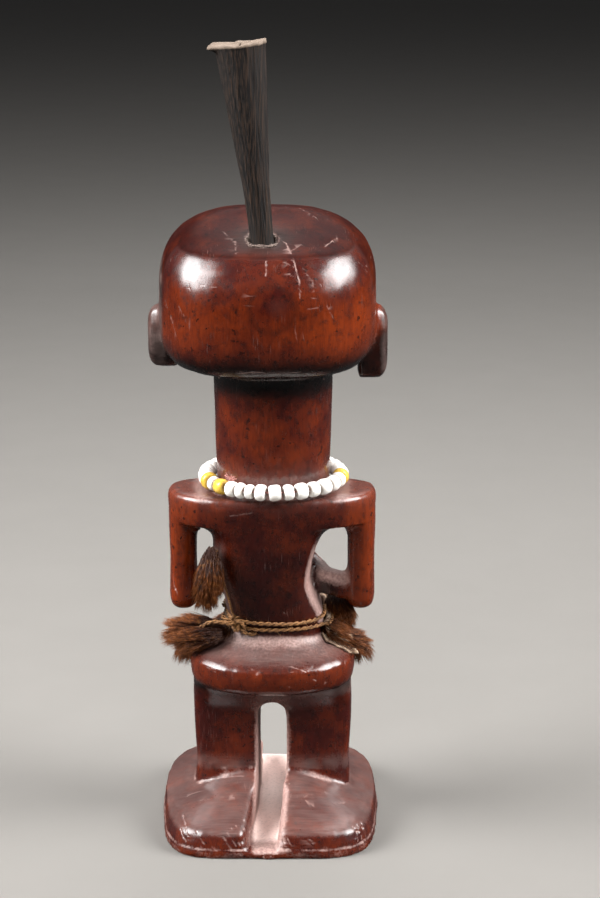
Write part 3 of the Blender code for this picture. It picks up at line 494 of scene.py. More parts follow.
def rounded_points(mesh, points, passes):
    """Points without the small facets, but with the broad form kept."""
    result = eased_points(mesh, points, passes)
    for _ in range(2):
        result = result + eased_points(mesh, points - result, passes)
    return result


def noise_field(points, size, seed=0.0):
    """Smooth noise from about -1 to 1, whose lumps are of the given size."""
    shift = Vector((seed, seed * 1.7, seed * 0.6))
    return np.array([noise.noise(Vector(point) / size + shift) for point in points])


# The carving


def crisp_edge_tree(shape):
    """Points along the edges that stay crisp: outer corners, small carving of face, hands and toes."""
    places = []
    for edge in shape.edges:
        start, end = (corner.co for corner in edge.verts)
        middle = (start + end) / 2
        least = LOW_CRISP_ANGLE if middle.z < waist and edge.calc_length() > 1.5 * MM else CRISP_ANGLE
        if len(edge.link_faces) != 2 or edge.calc_face_angle(0.0) < least:
            continue
        if middle.y < -0.008 and slab_top + 1.5 * MM < middle.z < ankle - 1.5 * MM:
            continue
        small_work = middle.y > 0.014 and (middle.z > head_bottom or middle.z < waist * 1.5)
        if edge.is_convex or small_work:
            count = max(1, int(edge.calc_length() / (0.7 * MM)))
            places += [start.lerp(end, step / count) for step in range(count + 1)]
    return tree_of(places)


def even_figure_mesh():
    """The figure's form with an even skin: facets rounded off, corners kept crisp."""
    shape = node_shape("figure")
    crisp = crisp_edge_tree(shape)
    even = reworked_mesh(mesh_of(shape, "carved_figure"), "REMESH", mode="VOXEL", voxel_size=VOXEL)
    points = points_of(even)
    near = np.array([crisp.find(point)[2] for point in points])
    softness = ease((near - 0.4 * MM) / CRISP_REACH)[:, None]
    worn = eased_points(even, points, WORN_EDGE_PASSES)
    put_points(even, worn + (rounded_points(even, points, ROUNDING_PASSES) - worn) * softness)
    fill_slot_corners(even)
    round_foot_rims(even)
    fill_left_flank(even)
    return thinned_mesh(even)


def thinned_mesh(mesh):
    """Fewer faces where the skin is smooth, with how hollow each place is kept from the fine mesh."""
    points = points_of(mesh)
    eased = eased_points(mesh, points, HOLLOW_PASSES)
    hollow = np.einsum("ij,ij->i", eased - points, normals_of(mesh)) / MM
    layer = mesh.attributes.new("hollow", "FLOAT", "POINT")
    layer.data.foreach_set("value", np.ascontiguousarray(hollow, dtype=np.float32))
    mesh.calc_loop_triangles()
    thinned = reworked_mesh(mesh, "DECIMATE", ratio=SKIN_FACES / len(mesh.loop_triangles))
    thinned.name = "carved_figure"
    return thinned


def hollow_of(mesh):
    """How far each point lies under its surroundings, in mm."""
    hollow = np.empty(len(mesh.vertices), dtype=np.float32)
    mesh.attributes["hollow"].data.foreach_get("value", hollow)
    return hollow.astype(float)


def round_foot_rims(mesh):
    """Wear the rims of the feet round at the back, where hands have held them."""
    points = points_of(mesh)
    x, y, z = points.T
    zone = ease((z - slab_top - 1.2 * MM) / (1.5 * MM)) * ease((ankle + 2 * MM - z) / (2 * MM))
    zone *= ease((-0.010 - y) / 0.006)
    put_points(mesh, points + (eased_points(mesh, points, RIM_PASSES) - points) * zone[:, None])


def fill_left_flank(mesh):
    """The trunk is a little fuller on the left than its mirror side."""
    points = points_of(mesh)
    x, y, z = points.T
    zone = ease((z - waist - 1 * MM) / (6 * MM)) * ease((shoulder_top - 12 * MM - z) / (8 * MM))
    zone *= ease((-0.004 - x) / 0.010) * ease((0.0205 + x) / 0.002) * ease((0.012 - y) / 0.012)
    points[:, 0] -= 1.8 * MM * zone
    put_points(mesh, points)


def fill_slot_corners(mesh):
    """Round the inner corners at the top of both arm slots into arches."""
    for _ in range(5):
        points = points_of(mesh)
        normals = normals_of(mesh)
        x, y, z = points.T
        near = ease((z - shoulder_top + 22 * MM) / (5 * MM)) * ease((shoulder_top - 6 * MM - z) / (3 * MM))
        near *= ease((np.abs(x) - 0.011) / 0.002) * ease((0.031 - np.abs(x)) / 0.002)
        push = np.einsum("ij,ij->i", eased_points(mesh, points, FILLET_PASSES) - points, normals)
        put_points(mesh, points + normals * (np.maximum(push, 0.0) * near)[:, None])


def surface_tree(mesh):
    """Tree of a mesh's faces, for rays."""
    shape = bmesh.new()
    shape.from_mesh(mesh)
    tree = BVHTree.FromBMesh(shape)
    shape.free()
    return tree


def seen_place(tree, pixel):
    """The place on the carving that the photograph shows at a pixel."""
    return tree.ray_cast(EYE, sight_line(pixel))[0]


# Marks that the photograph shows on the back, as pixels along each one
CLEAR_SCRATCHES = (
    ((277, 238), (286, 243), (290, 251), (294, 261), (297, 273), (300, 283)),
    ((299, 279), (300, 298)),
    ((325, 246), (337, 238)),
    ((266, 261), (266, 276)),
    ((313, 283), (314, 300)),
    ((240, 374), (256, 372), (306, 374)),
    ((218, 378), (240, 374)),
    ((306, 374), (324, 379)),
    ((313, 666), (316, 681)),
    ((231, 747), (252, 745)),
    ((292, 667), (306, 672)),
    ((292, 672), (315, 680)),
)
FINE_SCRATCHES = (
    ((299, 208), (316, 218)),
    ((291, 251), (304, 242)),
    ((235, 241), (236, 254)),
    ((223, 232), (234, 242)),
    ((286, 268), (299, 283)),
    ((289, 273), (301, 292)),
    ((284, 262), (296, 268)),
    ((306, 273), (314, 283)),
    ((303, 268), (322, 286)),
    ((170, 313), (177, 338)),
    ((179, 306), (191, 328)),
    ((165, 300), (171, 318)),
    ((249, 296), (248, 306)),
    ((295, 331), (297, 339)),
    ((297, 340), (306, 336)),
    ((327, 306), (333, 318)),
    ((308, 309), (318, 308)),
    ((186, 268), (190, 290)),
    ((200, 285), (216, 287)),
    ((358, 262), (367, 272)),
    ((207, 667), (216, 672)),
    ((240, 372), (256, 374), (300, 372)),
    ((271, 613), (276, 616)),
    ((280, 612), (287, 613)),
    ((230, 516), (252, 513)),
)
GOUGES = (
    ((174, 585), (177, 592)),
    ((183, 815), (186, 825)),
    ((181, 829), (186, 841)),
    ((186, 828), (188, 836)),
    ((196, 831), (204, 844)),
    ((223, 836), (231, 849)),
    ((227, 832), (236, 846)),
    ((231, 828), (240, 845)),
    ((236, 826), (244, 839)),
    ((244, 820), (249, 830)),
    ((252, 845), (241, 855)),
    ((254, 846), (249, 858)),
    ((257, 846), (263, 857)),
    ((261, 845), (271, 856)),
    ((283, 841), (290, 851)),
    ((287, 839), (293, 848)),
    ((304, 839), (313, 849)),
    ((308, 838), (313, 843)),
    ((276, 852), (283, 858)),
    ((353, 827), (358, 841)),
    ((357, 825), (362, 839)),
    ((361, 823), (366, 836)),
    ((305, 800), (314, 806)),
    ((334, 803), (344, 803)),
    ((188, 795), (197, 792)),
    ((275, 788), (289, 784)),
    ((275, 805), (291, 796)),
    ((300, 798), (325, 792)),
    ((205, 780), (243, 776)),
    ((200, 800), (236, 797)),
)
RING_STAIN = (272, 310)
RING_STAIN_RADIUS = 6.5 * MM
PALE_STAIN = (278, 308)
# Where the gloss of the back of the head gives way to the dull crown
CROWN_EDGE = (196, 243)
CHIPS = (
    ((253, 670), 1.0, 0.2),
    ((257, 674), 1.2, 0.22),
    ((288, 687), 0.8, 0.35),
    ((325, 683), 0.6, 0.4),
    ((345, 663), 0.6, 0.3),
    ((175, 589), 0.6, 0.3),
    ((237, 713), 0.5, 0.2),
    ((237, 721), 0.9, 0.35),
    ((240, 730), 0.5, 0.2),
    ((243, 740), 0.5, 0.2),
    ((225, 768), 1.2, 0.3),
    ((251, 768), 0.9, 0.3),
    ((274, 613), 0.6, 0.2),
    ((284, 613), 0.6, 0.2),
    ((366, 265), 0.9, 0.25),
    ((176, 310), 0.6, 0.3),
    ((188, 371), 0.6, 0.3),
    ((244, 829), 0.8, 0.4),
    ((357, 831), 1.2, 0.4),
    ((363, 828), 0.8, 0.3),
    ((266, 265), 0.4, 0.2),
)


def line_distance(points, line):
    """Distance of each point from a line of straight stretches."""
    best = np.full(len(points), 1.0)
    for start, end in zip(line, line[1:]):
        start = np.array(start)
        stretch = np.array(end) - start
        share = np.clip((points - start) @ stretch / max(1e-12, stretch @ stretch), 0.0, 1.0)
        best = np.minimum(best, np.linalg.norm(points - start - share[:, None] * stretch, axis=1))
    return best


def strokes_seen(tree, lines):
    """Straight strokes on the carving along lines of pixels in the photograph."""
    strokes = []
    for line in lines:
        places = [seen_place(tree, pixel) for pixel in line]
        strokes += [pair for pair in zip(places, places[1:]) if pair[0] and pair[1]]
    return strokes


def stroke_gap(points, strokes):
    """Distance of each point from the nearest of some strokes."""
    return np.min([line_distance(points, stroke) for stroke in strokes], axis=0)


def refine_near_marks(mesh, tree):
    """Finer faces along the photograph's scratches, so that each can be as thin as it is."""
    strokes = strokes_seen(tree, FINE_SCRATCHES + CLEAR_SCRATCHES + GOUGES)
    near = stroke_gap(points_of(mesh), strokes) < MARK_REACH
    shape = bmesh.new()
    shape.from_mesh(mesh)
    shape.verts.ensure_lookup_table()
    edges = [edge for edge in shape.edges if all(near[corner.index] for corner in edge.verts)]
    bmesh.ops.subdivide_edges(shape, edges=edges, cuts=3, use_grid_fill=True)
    bmesh.ops.triangulate(shape, faces=[face for face in shape.faces if len(face.verts) > 4])
    shape.to_mesh(mesh)
    shape.free()


def mark_amounts(tree, points):
    """How much each point lies in a fine scratch, a clear scratch and a gouge."""
    shake = 0.16 * MM * np.stack([noise_field(points, 0.9 * MM, seed) for seed in (21.0, 33.0, 47.0)], axis=1)
    amounts = []
    for lines, width in ((FINE_SCRATCHES, 0.17 * MM), (CLEAR_SCRATCHES, 0.22 * MM), (GOUGES, 0.34 * MM)):
        gap = stroke_gap(points + shake, strokes_seen(tree, lines))
        amounts.append(1.0 - ease((gap - 0.2 * width) / width))
    return amounts


def chip_depths(tree, points, rough):
    """How deep each point lies in a chip."""
    depth = np.zeros(len(points))
    for pixel, width, deep in CHIPS:
        place = seen_place(tree, pixel)
        if place is None:
            continue
        gap = np.linalg.norm(points - np.array(place), axis=1) / (width * MM)
        gap = gap + rough * 0.6
        depth = np.maximum(depth, deep * MM * (1.0 - ease(gap)))
    return depth


def tool_marks(points, normals):
    """Long shallow hollows of the knife, and finer strokes on the feet and the hips."""
    turned = points @ np.array(Matrix.Rotation(math.radians(24), 3, "Y"))
    broad = noise_field(turned * np.array((1.0, 1.0, 0.45)), 4.5 * MM, 3.0)
    fine = noise_field(turned * np.array((1.0, 0.35, 0.5)), 1.3 * MM, 8.0)
    low = ease((ankle * 1.3 - points[:, 2]) / (4 * MM))
    hips = ease((points[:, 2] - hip_bottom) / (3 * MM)) * ease((waist - points[:, 2]) / (4 * MM))
    return broad * (0.10 + 0.10 * low + 0.05 * hips) * MM + fine * (0.02 + 0.05 * low + 0.05 * hips) * MM


def finish_carving(mesh):
    """Cut the tool marks, chips and the hollow round the horn, then paint where earth, wear and soot lie and
    where shade and light are painted in.
    """
    tree = surface_tree(mesh)
    refine_near_marks(mesh, tree)
    points = points_of(mesh)
    normals = normals_of(mesh)
    rough = noise_field(points, 0.9 * MM, 5.0)
    wide = noise_field(points, 11 * MM, 1.0)
    middle = noise_field(points, 3.2 * MM, 2.0)
    horn_foot = np.array(horn_place(0.0))
    horn_gap = np.linalg.norm(points - horn_foot, axis=1)
    fine, clear, gouge = mark_amounts(tree, points)
    broken = 0.35 + 0.65 * ease(0.7 + rough)
    chips = chip_depths(tree, points, rough)
    offset = wide * 0.16 * MM + tool_marks(points, normals)
    offset -= chips
    offset -= (0.04 * fine + 0.07 * clear + 0.10 * gouge) * MM
    marks = np.max([0.42 * fine * broken, 0.8 * clear * broken, 0.38 * gouge * broken], axis=0)
    offset -= 0.12 * MM * np.exp(-((horn_gap - 2 * MM) / (6.5 * MM)) ** 2)
    rim = np.exp(-((horn_gap - HORN_FOOT_WIDTH * 0.50) / (1.1 * MM)) ** 2)
    on_crown = points[:, 2] > head_bottom + 20 * MM
    offset += rim * on_crown * (0.15 + 0.2 * rough) * MM
    offset[points[:, 2] < 0.4 * MM] = 0.0
    put_points(mesh, points + normals * offset[:, None])

    points = points_of(mesh)
    normals = normals_of(mesh)
    hollow = hollow_of(mesh)
    crown_edge = seen_place(tree, CROWN_EDGE).y
    paint_finish(mesh, points, normals, hollow, horn_gap, rim * on_crown, marks, chips / MM,
                 wide, middle, crown_edge)


def paint_finish(mesh, points, normals, hollow, horn_gap, rim, marks, chips, wide, middle, crown_edge):
    """Paint where dust, film, wear, soot and scratches lie, and where shade and light are painted in, from
    each point's place, slope and hollowness.
    """
    x, y, z = points.T
    upward = normals[:, 2]
    behind = ease((-normals[:, 1] + 0.1) / 0.6)
    swing = 0.5 * wide + 0.5 * middle

    hip_top = ease((z - hip_bottom - 7.5 * MM) / (3 * MM)) * ease((waist + 2.5 * MM - z) / (2 * MM))
    hip_top *= ease(upward / 0.5)
    near_waist = ease((z - waist + 3.6 * MM) / (2.2 * MM))
    # Floor of the trench between the feet: pale earth, and painted light that lifts its shade
    groove_earth_and_light = ease((6.5 * MM - np.abs(x + 0.3 * MM)) / (2 * MM)) * ease((slab_top + 2.0 * MM - z) / (1.2 * MM))
    groove_earth_and_light *= ease(upward / 0.4)
    gap_wall = ease((6.2 * MM - np.abs(x + 0.3 * MM)) / (1.5 * MM)) * ease((hip_bottom - z) / (3 * MM))
    gap_wall *= ease(np.abs(normals[:, 0]) / 0.6)
    ankle_line = ease((hollow - 0.09) / 0.10) * ease((ankle + 3 * MM - z) / (2 * MM))
    ankle_line *= ease((z - ankle + 6 * MM) / (2 * MM))
    ankle_line *= ease((np.abs(x + 0.3 * MM) - 4.5 * MM) / MM)
    foot_top = ease((ankle + 1 * MM - z) / (2 * MM)) * ease((upward - 0.35) / 0.4)
    foot_top *= ease((z - slab_top - MM) / MM)
    leg_foot = ease((ankle + 6 * MM - z) / (5 * MM)) * ease((z - ankle) / MM) * ease((0.5 - upward) / 0.3)
    ledge = np.exp(-((z - slab_top - 0.25 * MM) / (0.34 * MM)) ** 2) * ease((np.abs(x) - 6 * MM) / (2 * MM))
    slab_edge = ease((slab_top - z) / (0.6 * MM))
    crown_ash = np.exp(-(horn_gap / (8.0 * MM)) ** 2)
    torso = ease((z - waist) / (3 * MM)) * ease((shoulder_top - 12 * MM - z) / (6 * MM))
    torso *= ease((0.020 - np.abs(x)) / MM)
    right_side = torso * ease((normals[:, 0] - 0.78) / 0.14) * ease((0.010 - y) / 0.006)
    left_side = torso * ease((-normals[:, 0] - 0.45) / 0.25)
    forearm = ease((0.096 - z) / (3 * MM)) * ease((z - 0.062) / (3 * MM)) * ease((upward + 0.1) / 0.4)
    forearm *= ease((np.abs(x) - 0.012) / 0.003) * ease((0.0262 - np.abs(x)) / MM) * ease((x + 0.005) / 0.01)
    cavity = ease((hollow - 0.07) / 0.22)
    neck_foot = np.exp(-((z - shoulder_top) / (2.2 * MM)) ** 2) * ease(hollow / 0.1)
    neck_dust = np.exp(-((z - shoulder_top - 3 * MM) / (4.5 * MM)) ** 2)
    smudges = np.exp(-((np.abs(x) - 0.0205) / (2.6 * MM)) ** 2) * ease(upward / 0.6)
    smudges *= ease((z - shoulder_top + 2.5 * MM) / MM) * ease((shoulder_top + 4 * MM - z) / (2 * MM))
    leg_top = ease((z - hip_bottom + 6 * MM) / (2 * MM)) * ease((hip_bottom - z) / MM)
    leg_top *= ease((x - 0.004) / 0.004)

    dust = np.max([
        0.22 * cavity,
        (0.10 + 0.34 * near_waist) * hip_top + 0.10 * swing * hip_top,
        (1.0 - 0.55 * ease((-0.025 - y) / 0.005)) * groove_earth_and_light,
        0.55 * gap_wall,
        (0.26 + 0.5 * middle) * ankle_line,
        (0.34 + 0.4 * middle) * ledge,
        (0.08 + 0.2 * middle) * slab_edge,
        (0.52 + 0.3 * middle) * rim,
        0.62 * right_side,
        0.62 * forearm,
        0.40 * neck_foot,
        0.34 * smudges,
        0.36 * ease(chips / 0.3),
    ], axis=0)
    paint(mesh, "dust", dust)
    # The trench floor painted near white: pale earth with painted light over its shade, less towards its end
    paint(mesh, "groove_earth_and_light", 0.9 * groove_earth_and_light * (1.0 - 0.8 * ease((-0.023 - y) / 0.006)))

    # Where the polish stops: the crown
    dull = np.maximum(ease((y - crown_edge) / (4 * MM)), ease((upward - 0.68) / 0.14))
    dull *= ease((z - head_bottom - 22 * MM) / (4 * MM))
    paint(mesh, "dull", dull)

    ears = ease((np.abs(x - 0.0004) - 0.0312) / (0.8 * MM)) * ease((z - head_bottom + 8 * MM) / (2 * MM))
    film = np.max([
        0.34 * foot_top + 0.2 * swing * foot_top,
        0.36 * hip_top,
        0.24 * crown_ash,
        0.20 * left_side,
        0.26 * neck_dust,
        (0.3 + 0.3 * middle) * leg_foot,
        (0.22 + 0.4 * middle) * leg_top,
        (0.30 + 0.4 * middle) * ears,
        0.04 * ease(upward / 0.7) * ease((head_bottom - z) / (4 * MM)),
    ], axis=0)
    paint(mesh, "film", film)

    head_middle = np.exp(-((z - head_bottom - 17 * MM) / (11 * MM)) ** 2) * ease((z - head_bottom) / (4 * MM))
    arms = ease((np.abs(x) - 0.0205) / (2 * MM)) * ease((z - waist) / (4 * MM))
    arms *= ease((shoulder_top + 2 * MM - z) / (3 * MM))
    neck = np.exp(-((z - (shoulder_top + head_bottom) / 2 + 3 * MM) / (12 * MM)) ** 2)
    hip_face = ease((z - hip_bottom + MM) / (2 * MM)) * ease((hip_bottom + 9 * MM - z) / (3 * MM))
    foot_face = ease((foot_rim - z) / (2 * MM)) * ease((0.4 - upward) / 0.3)
    head_right = ease((x - 0.004) / 0.018) * head_middle
    edge = ease((-hollow - 0.06) / 0.25)
    worn = 0.12 + 0.36 * head_middle + 0.42 * head_right + 0.60 * arms + 0.28 * neck + 0.34 * hip_face
    worn += 0.25 * foot_face + 0.20 * wide + 0.22 * edge
    paint(mesh, "worn", worn)

    # Painted shade: a dark band over the bottom of the head and the top of the neck, under the head's
    # overhang
    shade_under_head = ease((head_bottom + 11.5 * MM - z) / (8.0 * MM))
    shade_under_head *= ease((z - head_bottom + 8 * MM) / (4 * MM))
    shade_under_head *= ease((0.012 - y) / 0.012)
    back_shade = np.exp(-((z - shoulder_top + 30 * MM) / (17 * MM)) ** 2)
    back_shade *= ease((0.019 - np.abs(x)) / (4 * MM))
    back_shade *= behind
    # Painted shade under the overhang of the hips
    undercut_shade = np.exp(-((z - hip_bottom + 1.5 * MM) / (2.2 * MM)) ** 2) * ease((0.3 - upward) / 0.5)
    # Painted shade on the trunk's sides inside the arm slots
    arm_inside_shade = ease((0.0235 - np.abs(x)) / MM) * ease((np.abs(x) - 0.014) / MM) * torso
    # Painted shade, with soot on the ears and round the horn and a darker crown top, less where dust lies
    soot_and_shade = 0.97 * shade_under_head + 0.50 * back_shade + 0.95 * undercut_shade + 0.5 * arm_inside_shade
    soot_and_shade += 0.45 * ease((crown_ash - 0.15) / 0.5) + 0.75 * ears + 0.45 * dull
    soot_and_shade = np.clip(soot_and_shade, 0.0, 1.0) * (1.0 - 0.8 * ease(dust * 2.0 - 0.6))
    paint(mesh, "soot_and_shade", soot_and_shade)
    paint(mesh, "marks", marks)


# The horn


horn_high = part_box("crown_horn")[1]
HORN_FOOT_WIDTH = 7.4 * MM
HORN_LENGTH = 55.8 * MM
HORN_LEAN = Vector((-6.0 * MM, 0.8 * MM, 0.0))
HORN_AXIS = (HORN_LEAN + UP * HORN_LENGTH).normalized()
LIP_ANGLE = math.radians(10)
# The horn's width in mm at shares of its length: slender at the crown, flaring to its cut top
HORN_WIDTHS = (
    (0.0, 0.12, 0.3, 0.45, 0.6, 0.75, 0.9, 0.97, 1.0),
    (6.5, 6.7, 7.8, 9.2, 10.7, 12.1, 13.4, 14.2, 14.8),
)


def horn_place(share):
    """Point on the horn's middle line, from the crown (0) to its cut top (1)."""
    top_middle = Vector((-8.5 * MM, -13.2 * MM, horn_high.z - 0.8 * MM))
    foot = top_middle - HORN_LEAN - UP * HORN_LENGTH
    return foot.lerp(top_middle, share)


def horn_mesh():
    """Lofted horn: fibres stand up as fine ridges, and the cut top is rough and chipped."""
    sides = 120
    steps = 96
    across = HORN_AXIS.cross(Vector((0.0, 1.0, 0.0))).normalized()
    upright = across.cross(HORN_AXIS).normalized()
    ridges = [0.5 * noise.noise(Vector((math.cos(a) * 4.2, math.sin(a) * 4.2, 0.0))) for a in
              (2 * math.pi * k / sides for k in range(sides))]
    shape = bmesh.new()
    ring = bmesh.ops.create_circle(shape, segments=sides, radius=1.0)["verts"]
    edges = list({edge for corner in ring for edge in corner.link_edges})
    loops = [list(ring)]
    for _ in range(steps + 4):
        raised = bmesh.ops.extrude_edge_only(shape, edges=edges)["geom"]
        fresh = {item for item in raised if isinstance(item, bmesh.types.BMVert)}
        edges = [item for item in raised if isinstance(item, bmesh.types.BMEdge)
                 and fresh.issuperset(item.verts)]
        ordered = []
        for corner in loops[-1]:
            ordered.append(next(edge.other_vert(corner) for edge in corner.link_edges
                                if edge.other_vert(corner) in fresh))
        loops.append(ordered)
    crests = []
    buried = 5.8 * MM
    for level, loop in enumerate(loops):
        inside = max(0, level - steps)
        share = min(level, steps) / steps
        length = -buried + (HORN_LENGTH + buried) * share
        rise = max(0.0, length / HORN_LENGTH)
        half = float(np.interp(rise, *HORN_WIDTHS)) * MM / 2
        shrink = 1.0 - inside / 4.0 * 0.96
        for index, corner in enumerate(loop):
            angle = 2 * math.pi * index / sides
            fine = noise.noise(Vector((math.cos(angle) * 9, math.sin(angle) * 9, length / (9 * MM))))
            ridge = ridges[index] + 0.55 * fine
            radius = half * shrink + ridge * 0.34 * MM * min(1.0, share * 5) * (1.0 if not inside else 0.3)
            ragged = noise.noise(Vector((math.cos(angle) * 2.6, math.sin(angle) * 2.6, 7.0)))
            drop = (0.5 + 0.9 * ragged) * MM * ease((share - 0.97) / 0.03)
            drop += 0.5 * MM * inside / 4.0 * (1.0 + ragged)
            lip = ease((math.cos(angle - LIP_ANGLE) - 0.72) / 0.2) * ease((share - 0.955) / 0.03)
            radius += 1.9 * MM * lip * (1.0 if not inside else 0.0)
            centre = horn_place(0.0) + HORN_AXIS * (length - drop)
            corner.co = centre + across * math.cos(angle) * radius + upright * math.sin(angle) * radius * 0.95
            crests.append((corner, ridge, inside > 0 or share > 0.985, share))
    bmesh.ops.contextual_create(shape, geom=loops[0])
    bmesh.ops.contextual_create(shape, geom=loops[-1])
    bmesh.ops.recalc_face_normals(shape, faces=shape.faces)
    shape.verts.index_update()
    ridge_values = np.zeros(len(shape.verts))
    pale_values = np.zeros(len(shape.verts))
    for corner, ridge, at_top, share in crests:
        ridge_values[corner.index] = 0.5 + ridge
        pale_values[corner.index] = 0.75 if at_top else 0.15 * max(0.0, 1.0 - share * 12)
    mesh = mesh_of(shape, "crown_horn_fibres")
    paint(mesh, "ridge", ridge_values)
    paint(mesh, "dust", pale_values)
    return mesh


def earth_crust_mesh(surface):
    """Lumpy ring of packed earth where the horn stands in the crown."""
    meshes = []
    for reach, width, seed in ((3.75, 1.5, 1.0), (4.35, 1.1, 5.0)):
        route = []
        for step in range(73):
            angle = math.tau * step / 72
            wander = 1.0 + 0.14 * noise.noise(Vector((math.cos(angle) * 2.4, math.sin(angle) * 2.4, seed)))
            out = Vector((math.cos(angle), math.sin(angle), 0.0)) * reach * wander * MM
            above = horn_place(0.0) + out + UP * 20 * MM
            route.append(surface.ray_cast(above, -UP)[0] or above - UP * 20 * MM)
        level = sorted(point.z for point in route)[36]
        route = [Vector((point.x, point.y, max(point.z, level - 0.6 * MM) - 0.4 * MM)) for point in route]
        ring = tubes_mesh("crust", [route], width * MM, 12)
        points = points_of(ring)
        lumps = noise_field(points, 0.7 * MM, seed)[:, None] * normals_of(ring) * 0.5 * MM
        put_points(ring, points + lumps)
        meshes.append(ring)
    return joined_mesh("earth_crust_round_horn", meshes)


# Beads and their thread


BEAD_SIDES = 22
BEAD_TILT = 0.09
thread_low, thread_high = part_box("necklace_thread")
neck_axis = (thread_low + thread_high) / 2
THREAD_RADIUS = (thread_high.x - thread_low.x) / 2


def bead_frame(node):
    """Middle of a bead, its direction along the thread, and its length and width, from the CAD node."""
    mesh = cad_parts[node].data
    points = points_of(mesh)
    centre = (points.max(axis=0) + points.min(axis=0)) / 2
    outward = centre - np.array((neck_axis.x, neck_axis.y, centre[2]))
    outward /= np.linalg.norm(outward)
    along = np.array((-outward[1], outward[0], 0.0))
    spread = (points - centre) @ along
    width = points[:, 2].max() - points[:, 2].min()
    return Vector(centre), Vector(along), spread.max() - spread.min(), width


def bead_piece(node, finish):
    """Hand-wound bead: a fat barrel with rounded shoulders round its hole, a little uneven."""
    centre, along, length, width = bead_frame(node)
    half = length / 2
    outer = width / 2
    hole = 0.55 * MM
    profile = [(hole, -half * 0.80), (hole * 1.25, -half * 0.95)]
    for step in range(9):
        turn = math.pi * (step / 8 - 0.5)
        bulge = math.copysign(abs(math.sin(turn)) ** 0.78, turn)
        profile.append((hole * 1.9 + (outer - hole * 1.9) * max(0.0, math.cos(turn)) ** 0.55, bulge * half))
    profile += [(hole * 1.25, half * 0.95), (hole, half * 0.80)]
    shape = bmesh.new()
    corners = [shape.verts.new((radius, 0.0, level)) for radius, level in profile]
    edges = [shape.edges.new(pair) for pair in zip(corners, corners[1:] + corners[:1])]
    bmesh.ops.spin(shape, geom=corners + edges, axis=UP, cent=(0, 0, 0), angle=math.tau,
                   steps=BEAD_SIDES, use_merge=True)
    bmesh.ops.remove_doubles(shape, verts=shape.verts, dist=0.001 * MM)
    bmesh.ops.recalc_face_normals(shape, faces=shape.faces)
    seed = chance.uniform(0, 50)
    tilt = Matrix.Rotation(chance.uniform(-BEAD_TILT, BEAD_TILT), 3, "X")
    tilt = tilt @ Matrix.Rotation(chance.uniform(-BEAD_TILT, BEAD_TILT), 3, "Y")
    stand = along.to_track_quat("Z", "Y").to_matrix()
    grime = []
    for corner in shape.verts:
        lump = 1.0 + 0.045 * noise.noise(corner.co / (1.6 * MM) + Vector((seed, 0, 0)))
        end_share = abs(corner.co.z) / half
        near_hole = 1.0 - ease((math.hypot(corner.co.x, corner.co.y) - hole * 1.6) / (outer * 0.45))
        grime.append(float(ease((end_share - 0.75) / 0.25) * near_hole))
        corner.co = centre + stand @ (tilt @ (corner.co * lump))
    mesh = mesh_of(shape, "glass_" + node)
    paint(mesh, "dust", np.array(grime))
    return add_piece(mesh, "glass_" + node, finish, (node,))


def tubes_mesh(name, routes, width, sides, shrink=None):
    """Mesh tubes along routes; shrink gives each point's share of the width."""
    curve = bpy.data.curves.new(name, "CURVE")
    curve.dimensions = "3D"
    curve.bevel_depth = width / 2
    curve.bevel_resolution = max(0, sides // 2 - 2)
    curve.use_fill_caps = True
    for route in routes:
        line = curve.splines.new("POLY")
        line.points.add(len(route) - 1)
        for index, point in enumerate(route):
            line.points[index].co = (*point, 1.0)
            line.points[index].radius = 1.0 if shrink is None else shrink(index / (len(route) - 1))
    holder = bpy.data.objects.new(name, curve)
    scene.collection.objects.link(holder)
    mesh = settled_mesh(holder)
    bpy.data.objects.remove(holder)
    mesh.name = name
    return mesh


def joined_mesh(name, meshes):
    """Several meshes as one."""
    shape = bmesh.new()
    for mesh in meshes:
        shape.from_mesh(mesh)
    return mesh_of(shape, name)


def necklace_thread_mesh():
    """Two-ply thread through the beads, with the two frayed ends of its knot at the left of the neck."""
    centre = neck_axis
    ring = THREAD_RADIUS - 0.35 * MM
    plies = []
    for phase in (0.0, math.pi):
        route = []
        for step in range(361):
            angle = math.tau * step / 360
            twist = angle * 46 + phase
            reach = ring + math.cos(twist) * 0.16 * MM
            rise = math.sin(twist) * 0.16 * MM
            route.append(centre + Vector((math.cos(angle) * reach, math.sin(angle) * reach, rise)))
        plies.append(route)
    knot_angle = math.radians(231)
    root = centre + Vector((math.cos(knot_angle) * ring, math.sin(knot_angle) * ring, 1.6 * MM))
    ends = []
    for lean, length in ((-0.35, 4.2), (0.30, 3.4), (-0.05, 2.6), (0.75, 2.4)):
        route = []
        for step in range(7):
            share = step / 6
            reach = Vector((lean * share, -0.35 * share, share - 0.35 * share * share))
            route.append(root + reach * length * MM)
        ends.append(route)
    down = [root + Vector((-0.2 * MM * s, -0.5 * MM * s, -0.75 * MM * s)) for s in range(5)]
    meshes = [tubes_mesh("ply", plies, 0.34 * MM, 6), tubes_mesh("ends", ends + [down], 0.34 * MM, 6)]
    whiskers = []
    for _ in range(26):
        tip = Vector((chance.uniform(-1, 1), chance.uniform(-1.2, 0.2), chance.uniform(-0.3, 1.2)))
        start = root + Vector((0, 0, chance.uniform(0, 2.0) * MM))
        whiskers.append([start, start + tip * 0.8 * MM, start + tip * 1.5 * MM + UP * 0.2 * MM])
    meshes.append(tubes_mesh("whiskers", whiskers, 0.10 * MM, 4))
    return joined_mesh("twisted_necklace_thread", meshes)


# Waist cord


cord_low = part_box("waist_cord")[0]
KNOT_ANGLE = math.radians(228)
LOWER_TURN = cord_low.z + 4.0 * MM
UPPER_TURN = LOWER_TURN + 2.1 * MM


